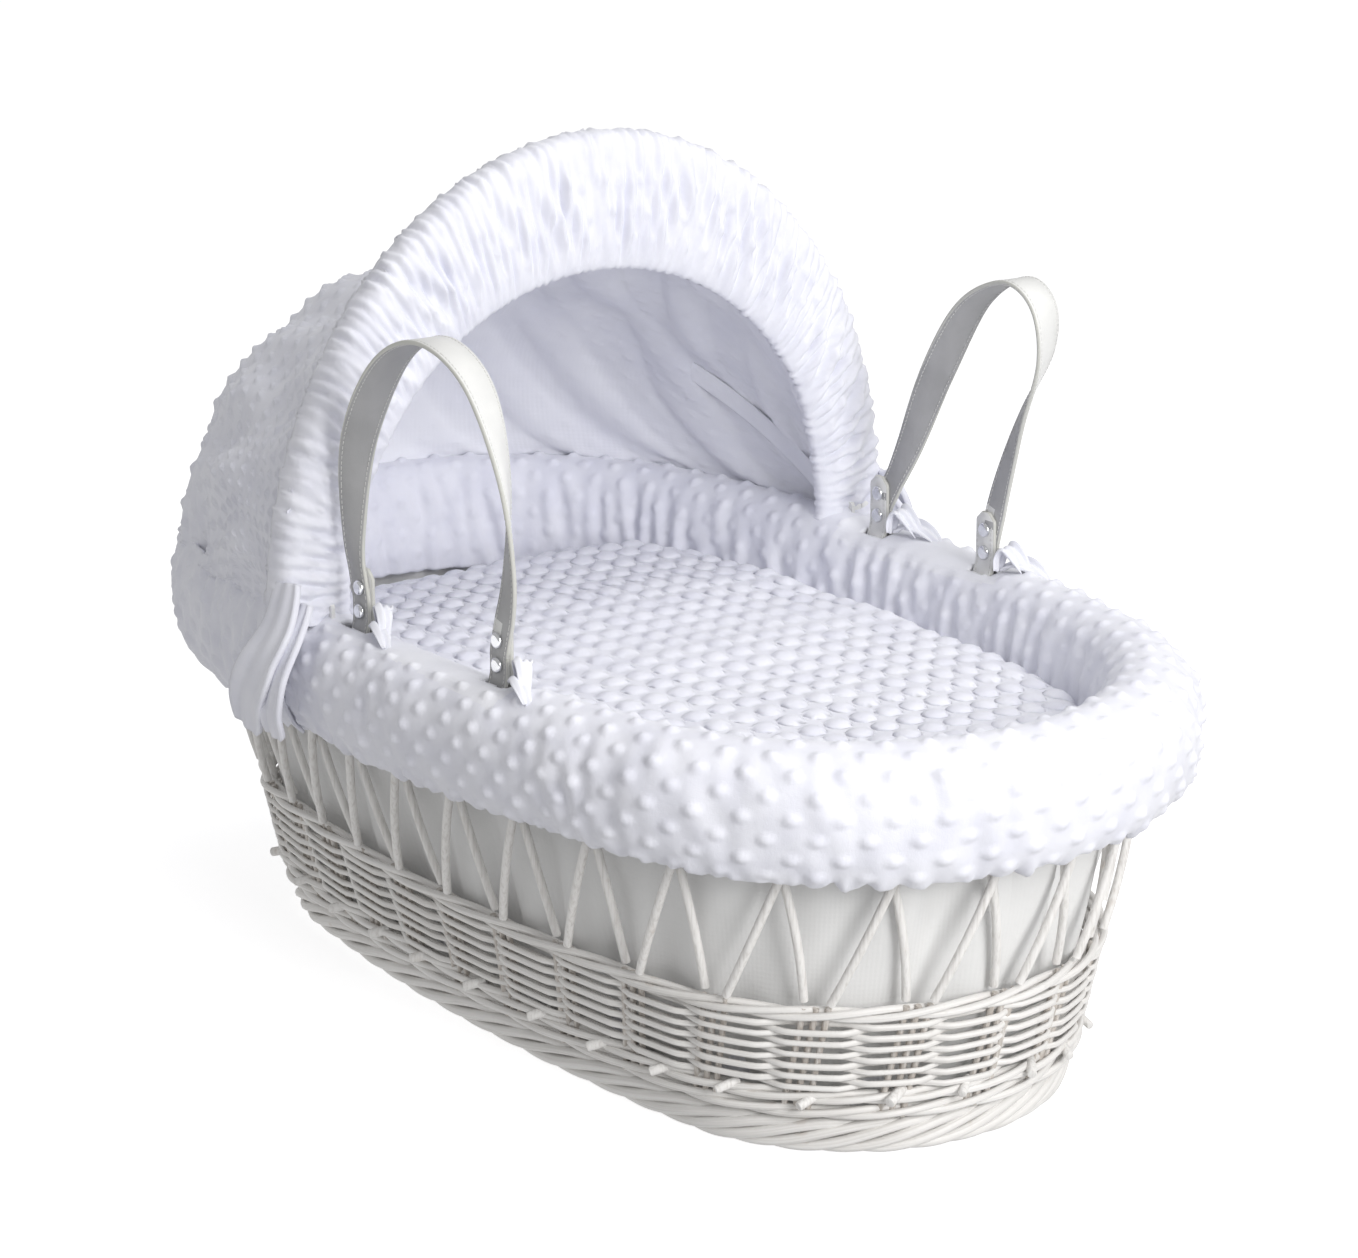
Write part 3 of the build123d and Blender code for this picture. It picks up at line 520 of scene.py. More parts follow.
@dataclass(frozen=True)
class BasketOval:
    """The basket wall: an oval of four tangent arcs that flares up to a knee, and less above it."""

    half_length: float
    half_width: float
    rim_height: float
    flare: tuple[float, float] = (0.194, 0.2696)
    upper_flare: tuple[float, float] = (0.04, 0.09)
    knee: float = 0.185
    end_roundness: float = 0.91

    @classmethod
    def from_frame(cls) -> "BasketOval":
        """Take the rim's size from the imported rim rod."""
        low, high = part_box("rim_border")
        rod = (high.z - low.z) / 2
        return cls(high.x - rod, high.y - rod, low.z + rod)

    def half_axes(self, z: np.ndarray) -> tuple[np.ndarray, np.ndarray]:
        """Half length and half width of the wall at some heights."""
        below = np.minimum(np.asarray(z, float), self.knee) - self.knee
        above = np.maximum(np.asarray(z, float) - self.knee, 0) - (self.rim_height - self.knee)
        return (self.half_length + self.flare[0] * below + self.upper_flare[0] * above,
                self.half_width + self.flare[1] * below + self.upper_flare[1] * above)

    def place(self, turn: np.ndarray, z: np.ndarray, out: np.ndarray | float = 0.0) -> tuple[np.ndarray,
                                                                                             np.ndarray]:
        """Points of the wall.

        Args:
            turn: share of the way round from the foot end, towards the far side.
            z: heights.
            out: distance out from the wall.

        Returns:
            The points and the outward directions.
        """
        a, b = self.half_axes(z)
        turn, a, b, z, out = np.broadcast_arrays(np.asarray(turn, float) % 1.0, a, b,
                                                 np.asarray(z, float), out)
        end = self.end_roundness * b
        run = a - end
        radius = (run**2 + b**2 - end**2) / (2 * (b - end))
        tip = np.arctan2(radius - b, run)
        end_arc, side_arc = end * tip, radius * (math.pi - 2 * tip)
        s = turn * 2 * (2 * end_arc + side_arc)
        half = 2 * end_arc + side_arc
        back = s >= half
        s = np.where(back, s - half, s)
        first, last = s < end_arc, s > end_arc + side_arc
        angle = np.where(first, s / end,
                         np.where(last, math.pi - (half - s) / end, tip + (s - end_arc) / radius))
        centre_x = np.where(first, run, np.where(last, -run, 0.0))
        centre_y = np.where(first | last, 0.0, b - radius)
        reach = np.where(first | last, end, radius) + out
        flip = np.where(back, -1.0, 1.0)
        normal = np.stack([np.cos(angle) * flip, np.sin(angle) * flip, np.zeros_like(angle)], axis=-1)
        points = np.stack([(centre_x + reach * np.cos(angle)) * flip,
                           (centre_y + reach * np.sin(angle)) * flip, z], axis=-1)
        return points, normal

    def round_length(self, z: float) -> float:
        """Length once round the wall at a height."""
        points, _ = self.place(np.linspace(0, 1, 721), z)
        return float(np.linalg.norm(np.diff(points, axis=0), axis=1).sum())

    def rim_y(self, x: float, side: int) -> float:
        """Y of the rim rod's centre at x, on the near (-1) or far (+1) side."""
        turns = np.linspace(0.0, 0.5, 2001)
        points, _ = self.place(turns, self.rim_height)
        return side * float(np.interp(-x, -points[:, 0], points[:, 1]))

    def half_chord(self, x: np.ndarray, z: float, out: float) -> np.ndarray:
        """Half width at x of the oval at a height, moved out."""
        points, _ = self.place(np.linspace(0.0, 0.5, 2001), z, out)
        return np.interp(-np.asarray(x), -points[:, 0], points[:, 1])


# ---------------------------------------------------------------- willow
@dataclass
class WillowBasket:
    """The basket's own willow work: border, twined bands, woven rows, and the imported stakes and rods."""

    oval: BasketOval
    finishes: Finishes
    groups: int = 32
    group_swing: float = 0.011
    rows: int = 12
    row_pitch: float = 0.00425
    weaver_half_high: float = 0.00218
    weaver_half_thick: float = 0.0018
    weave_depth: float = 0.0042
    border_strands: int = 6
    border_turns: int = 9
    border_radius: float = 0.0040
    wale_radius: float = 0.0026
    cut_end_radius: float = 0.0036
    cut_end_length: float = 0.017

    def group_turn(self, group: np.ndarray | float) -> np.ndarray | float:
        """Share of the way round of a place counted in groups of stakes."""
        share = (np.asarray(group) + 0.5) / self.groups
        return share - self.group_swing * np.sin(2 * math.tau * share)

    def rod(self, name: str, group: np.ndarray, z: np.ndarray, out: np.ndarray,
            section: np.ndarray) -> bpy.types.Object:
        """A rod that runs once round the basket."""
        path, outward = self.oval.place(self.group_turn(group), z, out)
        path[-1] = path[0]
        up = np.zeros_like(path)
        up[:, 2] = 1.0
        return sweep_section(name, path, outward, up, section, self.finishes.rod, looped=True)

    def woven_row(self, row: int, floor: float) -> bpy.types.Object:
        """One row of weaving that passes in front of one group of stakes and behind the next."""
        group = np.linspace(0, self.groups, self.groups * 12 + 1)
        beat = np.sin(math.pi * (group + 0.5)) * (1 if row % 2 else -1)
        out = self.weave_depth * np.clip(1.9 * beat, -1, 1)
        wander = crumple(group, group * 0, self.groups, 5.0, 1.0, 40 + row)
        z = floor + self.row_pitch * (row + 0.5) + 0.00035 * wander
        thin = 1 + 0.10 * crumple(group, group * 0, self.groups, 7.0, 1.0, 90 + row)
        section = round_section(self.weaver_half_thick, self.weaver_half_high, 10)
        piece = self.rod(f"woven_row_{row + 1:02d}", group, z, out, section[None] * thin[:, None, None])
        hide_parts(f"weave_row_{row + 1:02d}")
        return piece

    def twined_band(self, name: str, courses: Sequence[float], rise: float, depth: float,
                    radius: float) -> bpy.types.Object:
        """Three rods twined round the stakes in each course."""
        group = np.linspace(0, self.groups, self.groups * 12 + 1)
        rods = []
        for course, height in enumerate(courses):
            for rod in range(3):
                phase = math.tau * (group * 11 / self.groups + rod / 3 + 0.17 * course)
                z = height + rise * np.sin(phase) + 0.0004 * crumple(group, group * 0, self.groups, 6, 1,
                                                                     rod + course)
                out = depth * np.cos(phase)
                rods.append(self.rod(f"{name}_{course}{rod}", group, z, out,
                                     round_section(radius, radius, 10)))
        return join_pieces(name, rods)

    def plaited_border(self) -> bpy.types.Object:
        """The foot border: strands that turn slowly round one another."""
        low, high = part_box("foot_border")
        middle, half = (low.z + high.z) / 2, (high.z - low.z) / 2
        group = np.linspace(0, self.groups, self.groups * 14 + 1)
        strands = []
        for strand in range(self.border_strands):
            phase = math.tau * (self.border_turns * group / self.groups + strand / self.border_strands)
            swell = 1 + 0.12 * crumple(group, group * 0, self.groups, 4.0, 1.0, 7 + strand)
            z = middle + (half - self.border_radius * 1.15) * np.sin(phase)
            out = -0.0045 + 0.0037 * np.cos(phase)
            section = round_section(self.border_radius, self.border_radius, 10)[None] * swell[:, None,
                                                                                              None]
            strands.append(self.rod(f"border_strand_{strand}", group, z, out, section))
        piece = join_pieces("plaited_foot_border", strands)
        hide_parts("foot_border")
        return piece

    def cut_ends(self, z: float) -> bpy.types.Object:
        """The sawn end of a rod that stands out beside each group of stakes."""
        ends = bmesh.new()
        random = np.random.default_rng(5)
        for group in range(self.groups):
            place, outward = self.oval.place(self.group_turn(group + random.uniform(-0.12, 0.12)),
                                             z + random.uniform(-0.002, 0.002), 0.0052)
            around = Vector(outward).cross(Vector((0, 0, 1)))
            aim = (Vector(outward) * 0.75 + around * 0.75 - Vector((0, 0, 0.35))).normalized()
            turn = aim.to_track_quat("Z", "Y").to_matrix().to_4x4()
            radius = self.cut_end_radius * random.uniform(0.8, 1.1)
            bmesh.ops.create_cone(ends, cap_ends=True, segments=14, radius1=radius, radius2=radius * 0.96,
                                  depth=self.cut_end_length, matrix=Matrix.Translation(place) @ turn)
        rims = [e for e in ends.edges if e.calc_face_angle(0) > 1.0]
        bmesh.ops.bevel(ends, geom=rims, offset=0.0004, segments=2, profile=0.5, affect="EDGES",
                        material=-1)
        mesh = bpy.data.meshes.new("cut_rod_ends")
        ends.to_mesh(mesh)
        ends.free()
        return add_object("cut_rod_ends", mesh, self.finishes.upright)

    def build(self) -> list[bpy.types.Object]:
        """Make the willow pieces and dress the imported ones."""
        low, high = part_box("lower_wale_outside")
        upper_low, upper_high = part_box("upper_wale_outside")
        band = (high.z - low.z) / 4
        pieces = [self.plaited_border()]
        lower = self.twined_band("lower_twined_band", (low.z + band * 0.95, high.z - band * 0.95),
                                 band - 0.0028,
                                 0.0046, self.wale_radius)
        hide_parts("lower_wale_outside", "lower_wale_inside")
        upper = self.twined_band("upper_twined_band", ((upper_low.z + upper_high.z) / 2,), 0.0031, 0.0046,
                                 self.wale_radius)
        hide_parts("upper_wale_outside", "upper_wale_inside")
        pieces += [lower, upper, self.cut_ends(high.z - 0.004)]
        pieces += [self.woven_row(row, high.z + 0.0005) for row in range(self.rows)]
        for piece in pieces:
            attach(piece, "basket")
        for node in ("base_cross_sticks", "base_long_sticks", "base_weave", "lattice_rods_outside",
                     "lattice_rods_inside", "rim_border"):
            dress(node, self.finishes.upright)
        # The side stakes take the darker finish, which paints the shade of the gaps onto them.
        dress("side_stakes", self.finishes.shade_darkened_stake)
        return pieces


def dress(node: str, finish: bpy.types.Material) -> None:
    """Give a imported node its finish."""
    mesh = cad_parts[node].data
    mesh.materials.clear()
    mesh.materials.append(finish)


# ---------------------------------------------------------------- soft furnishings
@dataclass
class Bedding:
    """Lining, mattress, underlay and quilt."""

    oval: BasketOval
    finishes: Finishes
    quilt_step: float = 0.0024
    quilt_edge_roll: float = 0.013
    quilt_corner: float = 0.055

    def ring_cloth(self, name: str, profile: Sequence[tuple[float, float, float]], columns: int,
                   rows: int,
                   finish: bpy.types.Material, folds: float = 0.0, seed: int = 1) -> bpy.types.Object:
        """A cloth bag or pad that follows the oval.

        Args:
            name: the piece's name.
            profile: (height, distance out, scale about the middle) from one edge of the cloth to the other.
            columns: steps round the oval.
            rows: steps along the profile.
            finish: the material.
            folds: depth of soft upright folds, all inwards.
            seed: picks the folds.

        Returns:
            The piece.
        """
        line = smooth_line(profile, rows + 1)
        turn = np.linspace(0, 1, columns + 1)[None, :]
        z, out, scale = (line[:, k][:, None] for k in range(3))
        around = self.oval.round_length(self.oval.rim_height) * turn
        steps = np.linalg.norm(np.diff(line * [1, 1, self.oval.half_width], axis=0), axis=1)
        across = np.broadcast_to(np.concatenate([[0], np.cumsum(steps)])[:, None],
                                 (rows + 1, columns + 1))
        around = np.broadcast_to(around, across.shape)
        dip = 0.5 + 0.5 * crumple(around, across, around.max(), 0.075, 4.0, seed, 6)
        points, outward = self.oval.place(turn + z * 0, z, out)
        points = points * np.stack([scale + turn * 0, scale + turn * 0, np.ones_like(around)], axis=-1)
        points = points - outward * (folds * np.clip(dip, 0, 1.6) * ease(scale, 0.9, 1.0))[..., None]
        points[:, -1] = points[:, 0]
        return bend_cloth(name, points, np.stack([around, across], axis=-1), finish)

    def lining(self) -> bpy.types.Object:
        """The cotton bag seen behind the lattice, with its soft folds."""
        low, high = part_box("lining_bag")
        out = high.x - float(self.oval.half_axes(high.z)[0])
        profile = [(low.z, out, 0.0), (low.z, out, 0.5), (low.z, out, 0.985), (low.z + 0.012, out, 1.0),
                   (0.09, out, 1.0), (self.oval.knee, out, 1.0), (high.z, out, 1.0)]
        piece = self.ring_cloth("lining_cloth", profile, 360, 110, self.finishes.lining, 0.010, 11)
        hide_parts("lining_bag")
        a, b = self.oval.half_axes(high.z)
        girth = self.oval.round_length(high.z)
        floor = float(math.pi * self.oval.half_axes(low.z)[0] * self.oval.half_axes(low.z)[1])
        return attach(piece, "basket")

    def mattress(self) -> list[bpy.types.Object]:
        """The mattress cover with its rounded edge, and the cushion under the quilt."""
        low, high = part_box("mattress_cover")
        out = high.x - float(self.oval.half_axes(high.z)[0])
        middle = (low.z + high.z) / 2
        cover = [(low.z, out - 0.010, 0.0), (low.z, out - 0.010, 0.9), (low.z + 0.002, out - 0.006, 1.0),
                 (middle, out, 1.0), (high.z - 0.002, out - 0.006, 1.0), (high.z, out - 0.012, 0.9),
                 (high.z, out - 0.012, 0.0)]
        mattress = self.ring_cloth("mattress_ticking", cover, 220, 60, self.finishes.cotton)
        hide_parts("mattress_cover", "mattress_foam")
        low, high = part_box("underlay_cushion")
        inset = -0.028
        body = [(low.z, inset - 0.01, 0.0), (low.z, inset - 0.01, 0.92), (low.z + 0.012, inset, 1.0),
                (0.15, inset - 0.002, 1.0), (high.z - 0.028, inset - 0.004, 1.0),
                (high.z - 0.004, inset - 0.022, 0.97), (high.z, inset - 0.03, 0.8),
                (high.z, inset - 0.03, 0.0)]
        cushion = self.ring_cloth("underlay_cushion_case", body, 220, 80, self.finishes.plush)
        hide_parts("underlay_cushion")
        for piece in (mattress, cushion):
            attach(piece, "basket")
        return [mattress, cushion]

    def quilt(self) -> bpy.types.Object:
        """The dotted quilt, crowned along its middle and rolled under at its edges."""
        low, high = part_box("coverlet")
        out = high.x - float(self.oval.half_axes(low.z)[0])
        rows = round((high.x - low.x) / self.quilt_step)
        columns = round((high.y - low.y) / self.quilt_step)
        lean = np.linspace(0, 1, rows + 1)
        x = low.x + (high.x - low.x - 0.0012) * (0.5 - 0.5 * np.cos(math.pi * (0.08 + 0.92 * lean)))
        x = x - x[0] + low.x
        half = self.oval.half_chord(x, low.z, out - 0.001)
        gap = np.clip(self.quilt_corner - (x - low.x), 0, self.quilt_corner)
        half = half - (self.quilt_corner - np.sqrt(self.quilt_corner**2 - gap**2))
        share = np.linspace(-1, 1, columns + 1)
        spread = np.sign(share) * (1 - (1 - np.abs(share)) ** 1.08)
        gx = np.broadcast_to(x[:, None], (rows + 1, columns + 1))
        gy = half[:, None] * spread[None, :]
        edge = np.minimum(gx - low.x, half[:, None] - np.abs(gy))
        edge = np.minimum(edge, np.broadcast_to((x[-1] - x)[:, None] * 2.0, edge.shape))
        swell = 0.0075 * (1 - spread[None, :] ** 2) * ease(gx, low.x, low.x + 0.25)
        head_dip = 0.004 * (1 - ease(gx, low.x - 0.02, low.x + 0.13))
        top = high.z - 0.0090 + swell - head_dip
        top = top + 0.0012 * crumple(gx, gy, 1.0, 0.16, 1.2, 21)
        roll = self.quilt_edge_roll
        near = np.clip(roll - edge, 0, roll)
        top = top - (roll - np.sqrt(np.maximum(roll**2 - near**2, 0)))
        points = np.stack([gx, gy, top], axis=-1)
        dots = Dots(pitch=0.0215, row=0.0235, radius=0.0066, height=0.0042, staggered=False)
        bumps = dots.raise_at(gy + 0.004, gx)
        normals = grid_normals(points)
        normals *= np.sign(normals[..., 2:3] + 1e-9)
        points = points + normals * (bumps * ease(edge, -0.002, 0.004))[..., None]
        piece = bend_cloth("dotted_quilt", points, np.stack([gx, gy], axis=-1), self.finishes.plush)
        thicken(piece, 0.009)
        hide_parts("coverlet")
        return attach(piece, "basket")

    def build(self) -> list[bpy.types.Object]:
        """Make the bedding."""
        return [self.lining(), *self.mattress(), self.quilt()]


@dataclass
class StrapFoot:
    """Where one end of a carrying strap passes through the collar."""

    x: float
    side: int
    before: float = 0.013
    after: float = 0.013


@dataclass
class PaddedCollar:
    """The padded, dotted collar that rolls over the rim and runs down inside."""

    oval: BasketOval
    finishes: Finishes
    feet: list[StrapFoot]
    shift: float = 0.006
    columns: int = 900
    rows: int = 112
    padding: float = 0.004
    facing_reach: float = 0.022
    slit_half_width: float = 0.0085
    slit_floor: float = 0.281

    def profile(self) -> np.ndarray:
        """(height, distance out) from the outer hem over the crest and down inside."""
        low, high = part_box("padded_collar")
        crest = high.z - 0.003
        return np.array([(low.z + 0.001, 0.023), (low.z + 0.004, 0.030), (low.z + 0.018, 0.0375),
                         (0.250, 0.0405), (0.268, 0.0395), (0.284, 0.032), (0.296, 0.018), (crest, 0.002),
                         (crest - 0.004, -0.011), (0.286, -0.0195), (0.268, -0.0245), (0.245, -0.027),
                         (0.218, -0.029)])

    def build(self) -> bpy.types.Object:
        """Make the collar, with an opening for each strap and a plain facing between them."""
        line = smooth_line(self.profile(), self.rows + 1)
        steps = np.concatenate([[0], np.cumsum(np.linalg.norm(np.diff(line, axis=0), axis=1))])
        turn = np.linspace(0, 1, self.columns + 1)
        girth = self.oval.round_length(0.262)
        around, across = np.broadcast_arrays(girth * turn[None, :], steps[:, None])
        z = np.broadcast_to(line[:, :1], around.shape).copy()
        out = np.broadcast_to(line[:, 1:], around.shape).copy()
        share = across / steps[-1]
        hem = 1 - ease(share, 0.0, 0.10)
        z = z + hem * (0.0022 * crumple(around, across, girth, 0.022, 9,
                                        3) + 0.002 * np.sin(math.tau * around / girth * 5))
        out = out + hem * 0.0020 * crumple(around, across, girth, 0.013, 9, 4)
        outside = 1 - ease(share, 0.42, 0.58)
        calm = 0.5 + 0.5 * ease(crumple(around, across, girth, 0.35, 3, 9), -0.4, 0.8)
        out = out + outside * 0.0012 * crumple(around, across, girth, 0.11, 1.2, 5)
        creases = crumple(around + across * 0.25, across, girth, 0.024, 5.0, 6)
        out = out + (0.0013 * outside * (1.2 - calm) - 0.0017 * (1 - outside) * ease(share, 0.55,
                                                                                     0.8)) * creases
        zone = self.strap_zone(turn)
        crest = np.exp(-((share - 0.56) / 0.10) ** 2)
        z = z - crest * zone[None, :] * 0.004
        points, outward = self.oval.place(np.broadcast_to(turn, around.shape), z, out)
        points[..., 0] += self.shift * np.clip((out + 0.02) / 0.06, 0, 1)
        points[:, -1] = points[:, 0]
        normals = self.outwards(points)
        plain = zone[None, :] * ease(1 - np.abs(share - 0.575) / 0.12, 0.1, 0.4)
        squeeze = 0.55 + 0.45 * ease(1 - share, 0.25, 0.5)
        bumps = Dots().raise_at(around, across, girth) * (1 - plain) * squeeze * (1 - 0.7 * hem)
        points = points + normals * bumps[..., None]
        points[:, -1] = points[:, 0]
        piece = bend_cloth("dotted_collar", points, np.stack([around, across], axis=-1),
                           self.finishes.plush)
        self.open_slits(piece)
        thicken(piece, self.padding)
        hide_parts("padded_collar")
        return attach(piece, "basket")

    def outwards(self, points: np.ndarray) -> np.ndarray:
        """Normals of the collar, away from the rim."""
        across = np.gradient(points, axis=0)
        along = np.gradient(points, axis=1)
        along[:, 0] = along[:, -1] = points[:, 1] - points[:, -2]
        normals = unit(np.cross(along, across))
        return normals if normals[self.rows // 4, 0, 0] > 0 else -normals

    def strap_zone(self, turn: np.ndarray) -> np.ndarray:
        """1 between the two feet of a strap and 0 elsewhere."""
        points, _ = self.oval.place(turn, self.oval.rim_height)
        zone = np.zeros_like(turn)
        for side in (-1, 1):
            xs = [foot.x for foot in self.feet if foot.side == side]
            inside = ease(points[:, 0], min(xs) - 0.05, min(xs) - 0.02) * (
                1 - ease(points[:, 0], max(xs) + 0.012, max(xs) + 0.04))
            zone = np.maximum(zone, inside * (points[:, 1] * side > 0))
        return zone

    def open_slits(self, piece: bpy.types.Object) -> None:
        """Cut the straps' openings through the crest, and give the crest between them its plain facing."""
        piece.data.materials.append(self.finishes.cotton)
        cloth = bmesh.new()
        cloth.from_mesh(piece.data)
        cut = []
        for face in cloth.faces:
            centre = face.calc_center_median()
            if centre.z < self.slit_floor:
                continue
            for foot in self.feet:
                rim = abs(self.rims[foot.side, foot.x]) - abs(centre.y)
                along = -foot.before < centre.x - foot.x < foot.after
                if centre.y * foot.side > 0 and along and abs(rim) < self.slit_half_width:
                    cut.append(face)
                    break
            else:
                for side, low, high in self.facings:
                    rim = abs(centre.y) - abs(self.rims[side, low])
                    along = low - 0.035 < centre.x < high + 0.025
                    if centre.y * side > 0 and along and -0.02 < rim < self.facing_reach:
                        face.material_index = 1
        bmesh.ops.delete(cloth, geom=cut, context="FACES")
        cloth.to_mesh(piece.data)
        cloth.free()

    def __post_init__(self) -> None:
        """Note the rim's place at each strap foot, and the stretch between each pair of feet."""
        self.rims = {(foot.side, foot.x): self.oval.rim_y(foot.x, foot.side) for foot in self.feet}
        self.facings = []
        for side in (-1, 1):
            xs = [foot.x for foot in self.feet if foot.side == side]
            self.facings.append((side, min(xs), max(xs)))


@dataclass
class CarryingStrap:
    """One stitched carrying strap that loops round the rim at both feet."""

    oval: BasketOval
    finishes: Finishes
    name: str
    side: int
    route: Sequence[tuple[float, float]]
    width: float = 0.027
    end_width: float = 0.020
    thickness: float = 0.003
    loop_radius: float = 0.0093
    tab_top: float = 0.338
    tab_clip: float = 0.006
    twist_span: tuple[float, float] = (0.12, 1.0)
    stitch_pitch: float = 0.0036
    stitch_inset: float = 0.0026

    def end_line(self, x: float) -> np.ndarray:
        """Middle line of one end, from the tab's top down round the rim rod and up to the leg's foot."""
        y, z = self.oval.rim_y(x, self.side), self.oval.rim_height
        layer = self.thickness * 0.56
        foot = self.route[0][1]
        turns = np.radians([28, -5, -38, -65, -90, -115, -142, -175, -208])[::-1]
        loop = [(self.loop_radius * math.cos(t), z + self.loop_radius * math.sin(t)) for t in turns]
        pinch = z + 2.3 * self.loop_radius
        line = [(-layer, self.tab_top), (-layer, foot), (-layer * 1.3, pinch), *loop,
                (layer * 1.3, pinch),
                (layer, foot)]
        flat = smooth_line(line, 70)
        return np.stack([np.full(len(flat), x), y + self.side * flat[:, 0], flat[:, 1]], axis=1)

    def path(self) -> tuple[np.ndarray, np.ndarray, np.ndarray]:
        """The strap's whole middle line, its across directions and its widths."""
        leg = smooth_line(self.route, 260)
        left, right = (self.oval.rim_y(self.route[k][0], self.side) for k in (0, -1))
        share = (leg[:, 0] - self.route[0][0]) / (self.route[-1][0] - self.route[0][0])
        y = left + (right - left) * share + self.side * self.thickness * 0.56
        over = np.stack([leg[:, 0], y, leg[:, 1]], axis=1)
        along = unit(np.gradient(over, axis=0))
        climb = (over[:, 2] - over[0, 2]) / (over[:, 2].max() - over[0, 2])
        low, high = self.twist_span
        twist = np.clip((climb - low) / (high - low), 0, 1) * math.pi / 2
        flat = np.stack([along[:, 2], along[:, 1] * 0, -along[:, 0]], axis=1)
        across = unit(flat * np.cos(twist)[:, None] + np.array([0, 1.0, 0]) * np.sin(twist)[:, None])
        width = self.end_width + (self.width - self.end_width) * np.sin(twist)
        first, last = self.end_line(self.route[0][0]), self.end_line(self.route[-1][0])[::-1]
        path = np.vstack([first[:-1], over, last[1:]])
        ends = np.tile([1.0, 0, 0], (len(first) - 1, 1))
        across = np.vstack([ends, across, -ends])
        clip = np.linspace(0, 1, len(first) - 1)
        drop = self.tab_top - first[:-1, 2]
        tab = np.where(clip < 0.5, np.clip(0.4 + 0.6 * drop / self.tab_clip, 0.4, 1), 1) * self.end_width
        return path, across, np.concatenate([tab, width, tab[::-1]])

    def band(self) -> bpy.types.Object:
        """The strap itself, with its face, grey back and painted edges."""
        path, across, width = self.path()
        along = unit(np.gradient(path, axis=0))
        lift = unit(np.cross(along, across))
        half, soft = self.thickness / 2, 0.0007
        corner = width[:, None] / 2
        zero = np.zeros_like(corner)
        wide = np.concatenate([corner, corner, corner - soft, zero, soft - corner, -corner, -corner,
                               soft - corner,
                               zero, corner - soft], axis=1)
        high = np.array([soft - half, half - soft, half, half, half, half - soft, soft - half, -half,
                         -half, -half])
        sections = np.stack([wide, np.broadcast_to(high, wide.shape)], axis=-1)
        strap = sweep_section(f"{self.name}_strap_leather", path, across, lift, sections,
                              self.finishes.strap_edge,
                              looped=False)
        strap.data.materials.append(self.finishes.strap_face)
        strap.data.materials.append(self.finishes.strap_back)
        nearest = self.nearest_station(path)
        for face in strap.data.polygons:
            up = float(np.dot(lift[nearest(face.center)], face.normal))
            face.material_index = 1 if up > 0.8 else 2 if up < -0.8 else 0
        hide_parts(f"handle_strap_{self.name}")
        return strap

    @staticmethod
    def nearest_station(path: np.ndarray) -> Callable[[Vector], int]:
        """A function that gives the index of the path's point nearest to a place."""
        tree = KDTree(len(path))
        for index, point in enumerate(path):
            tree.insert(point, index)
        tree.balance()
        return lambda place: tree.find(place)[1]

    def stitching(self) -> bpy.types.Object:
        """Rows of thread beside both edges, on the face and on the back."""
        path, across, width = self.path()
        along = unit(np.gradient(path, axis=0))
        lift = unit(np.cross(along, across))
        steps = np.concatenate([[0], np.cumsum(np.linalg.norm(np.diff(path, axis=0), axis=1))])
        thread = bmesh.new()
        start = self.tab_clip * 2
        for place in np.arange(start, steps[-1] - start, self.stitch_pitch):
            k = int(np.searchsorted(steps, place))
            axes = Matrix((across[k], lift[k], along[k])).transposed().to_4x4()
            for edge in (-1, 1):
                for face in (-1, 1):
                    spot = (path[k] + across[k] * edge * (width[k] / 2 - self.stitch_inset)
                            + lift[k] * face * self.thickness / 2)
                    bmesh.ops.create_cone(thread, cap_ends=True, segments=6, radius1=0.00034,
                                          radius2=0.00034,
                                          depth=self.stitch_pitch * 0.7,
                                          matrix=Matrix.Translation(spot) @ axes)
        mesh = bpy.data.meshes.new(f"{self.name}_strap_stitching")
        thread.to_mesh(mesh)
        thread.free()
        return add_object(mesh.name, mesh, self.finishes.thread)

    def build(self) -> list[bpy.types.Object]:
        """Make the strap and dress its rivets."""
        pieces = [self.band(), self.stitching()]
        for piece in pieces:
            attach(piece, f"handle_{self.name}")
        dress(f"handle_rivets_{self.name}", self.finishes.chrome)
        return pieces


@dataclass
class Ribbon:
    """A flat cotton ribbon that follows a few points and can gather into folds."""

    name: str
    points: Sequence[tuple[float, float, float]]
    across: tuple[float, float, float]
    width: float = 0.012
    thickness: float = 0.0009
    folds: float = 0.0
    taper: float = 0.0
    twist: float = 0.0

    def build(self, finish: bpy.types.Material, body: str = "basket") -> bpy.types.Object:
        """Make the ribbon as a thin sheet and let it ride on a body."""
        count = 64
        path = smooth_line(self.points, count)
        along = unit(np.gradient(path, axis=0))
        side = unit(np.array(self.across) - along * (along @ np.array(self.across))[:, None])
        up = np.cross(along, side)
        share = np.linspace(0, 1, count)[:, None]
        turn = np.radians(self.twist) * share
        side, up = side * np.cos(turn) + up * np.sin(turn), up * np.cos(turn) - side * np.sin(turn)
        cross = np.linspace(-1, 1, 17)[None, :]
        narrow = 1 - self.taper * (1 - np.sin(math.pi * share) ** 0.6)
        pleat = self.folds * np.sin(cross * math.pi * 2.2 + share * 1.5) * (0.4 + 0.6 * narrow)
        grid = (path[:, None] + side[:, None] * (cross * narrow * self.width / 2)[..., None]
                + up[:, None] * (pleat + 0.0006 * np.sin(7 * share + 4 * cross))[..., None])
        run = np.linalg.norm(np.diff(path, axis=0), axis=1).sum()
        flat = np.stack(np.broadcast_arrays(run * share, cross * self.width / 2), axis=-1)
        piece = bend_cloth(self.name, grid, flat, finish)
        thicken(piece, self.thickness, 0.0)
        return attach(piece, body)


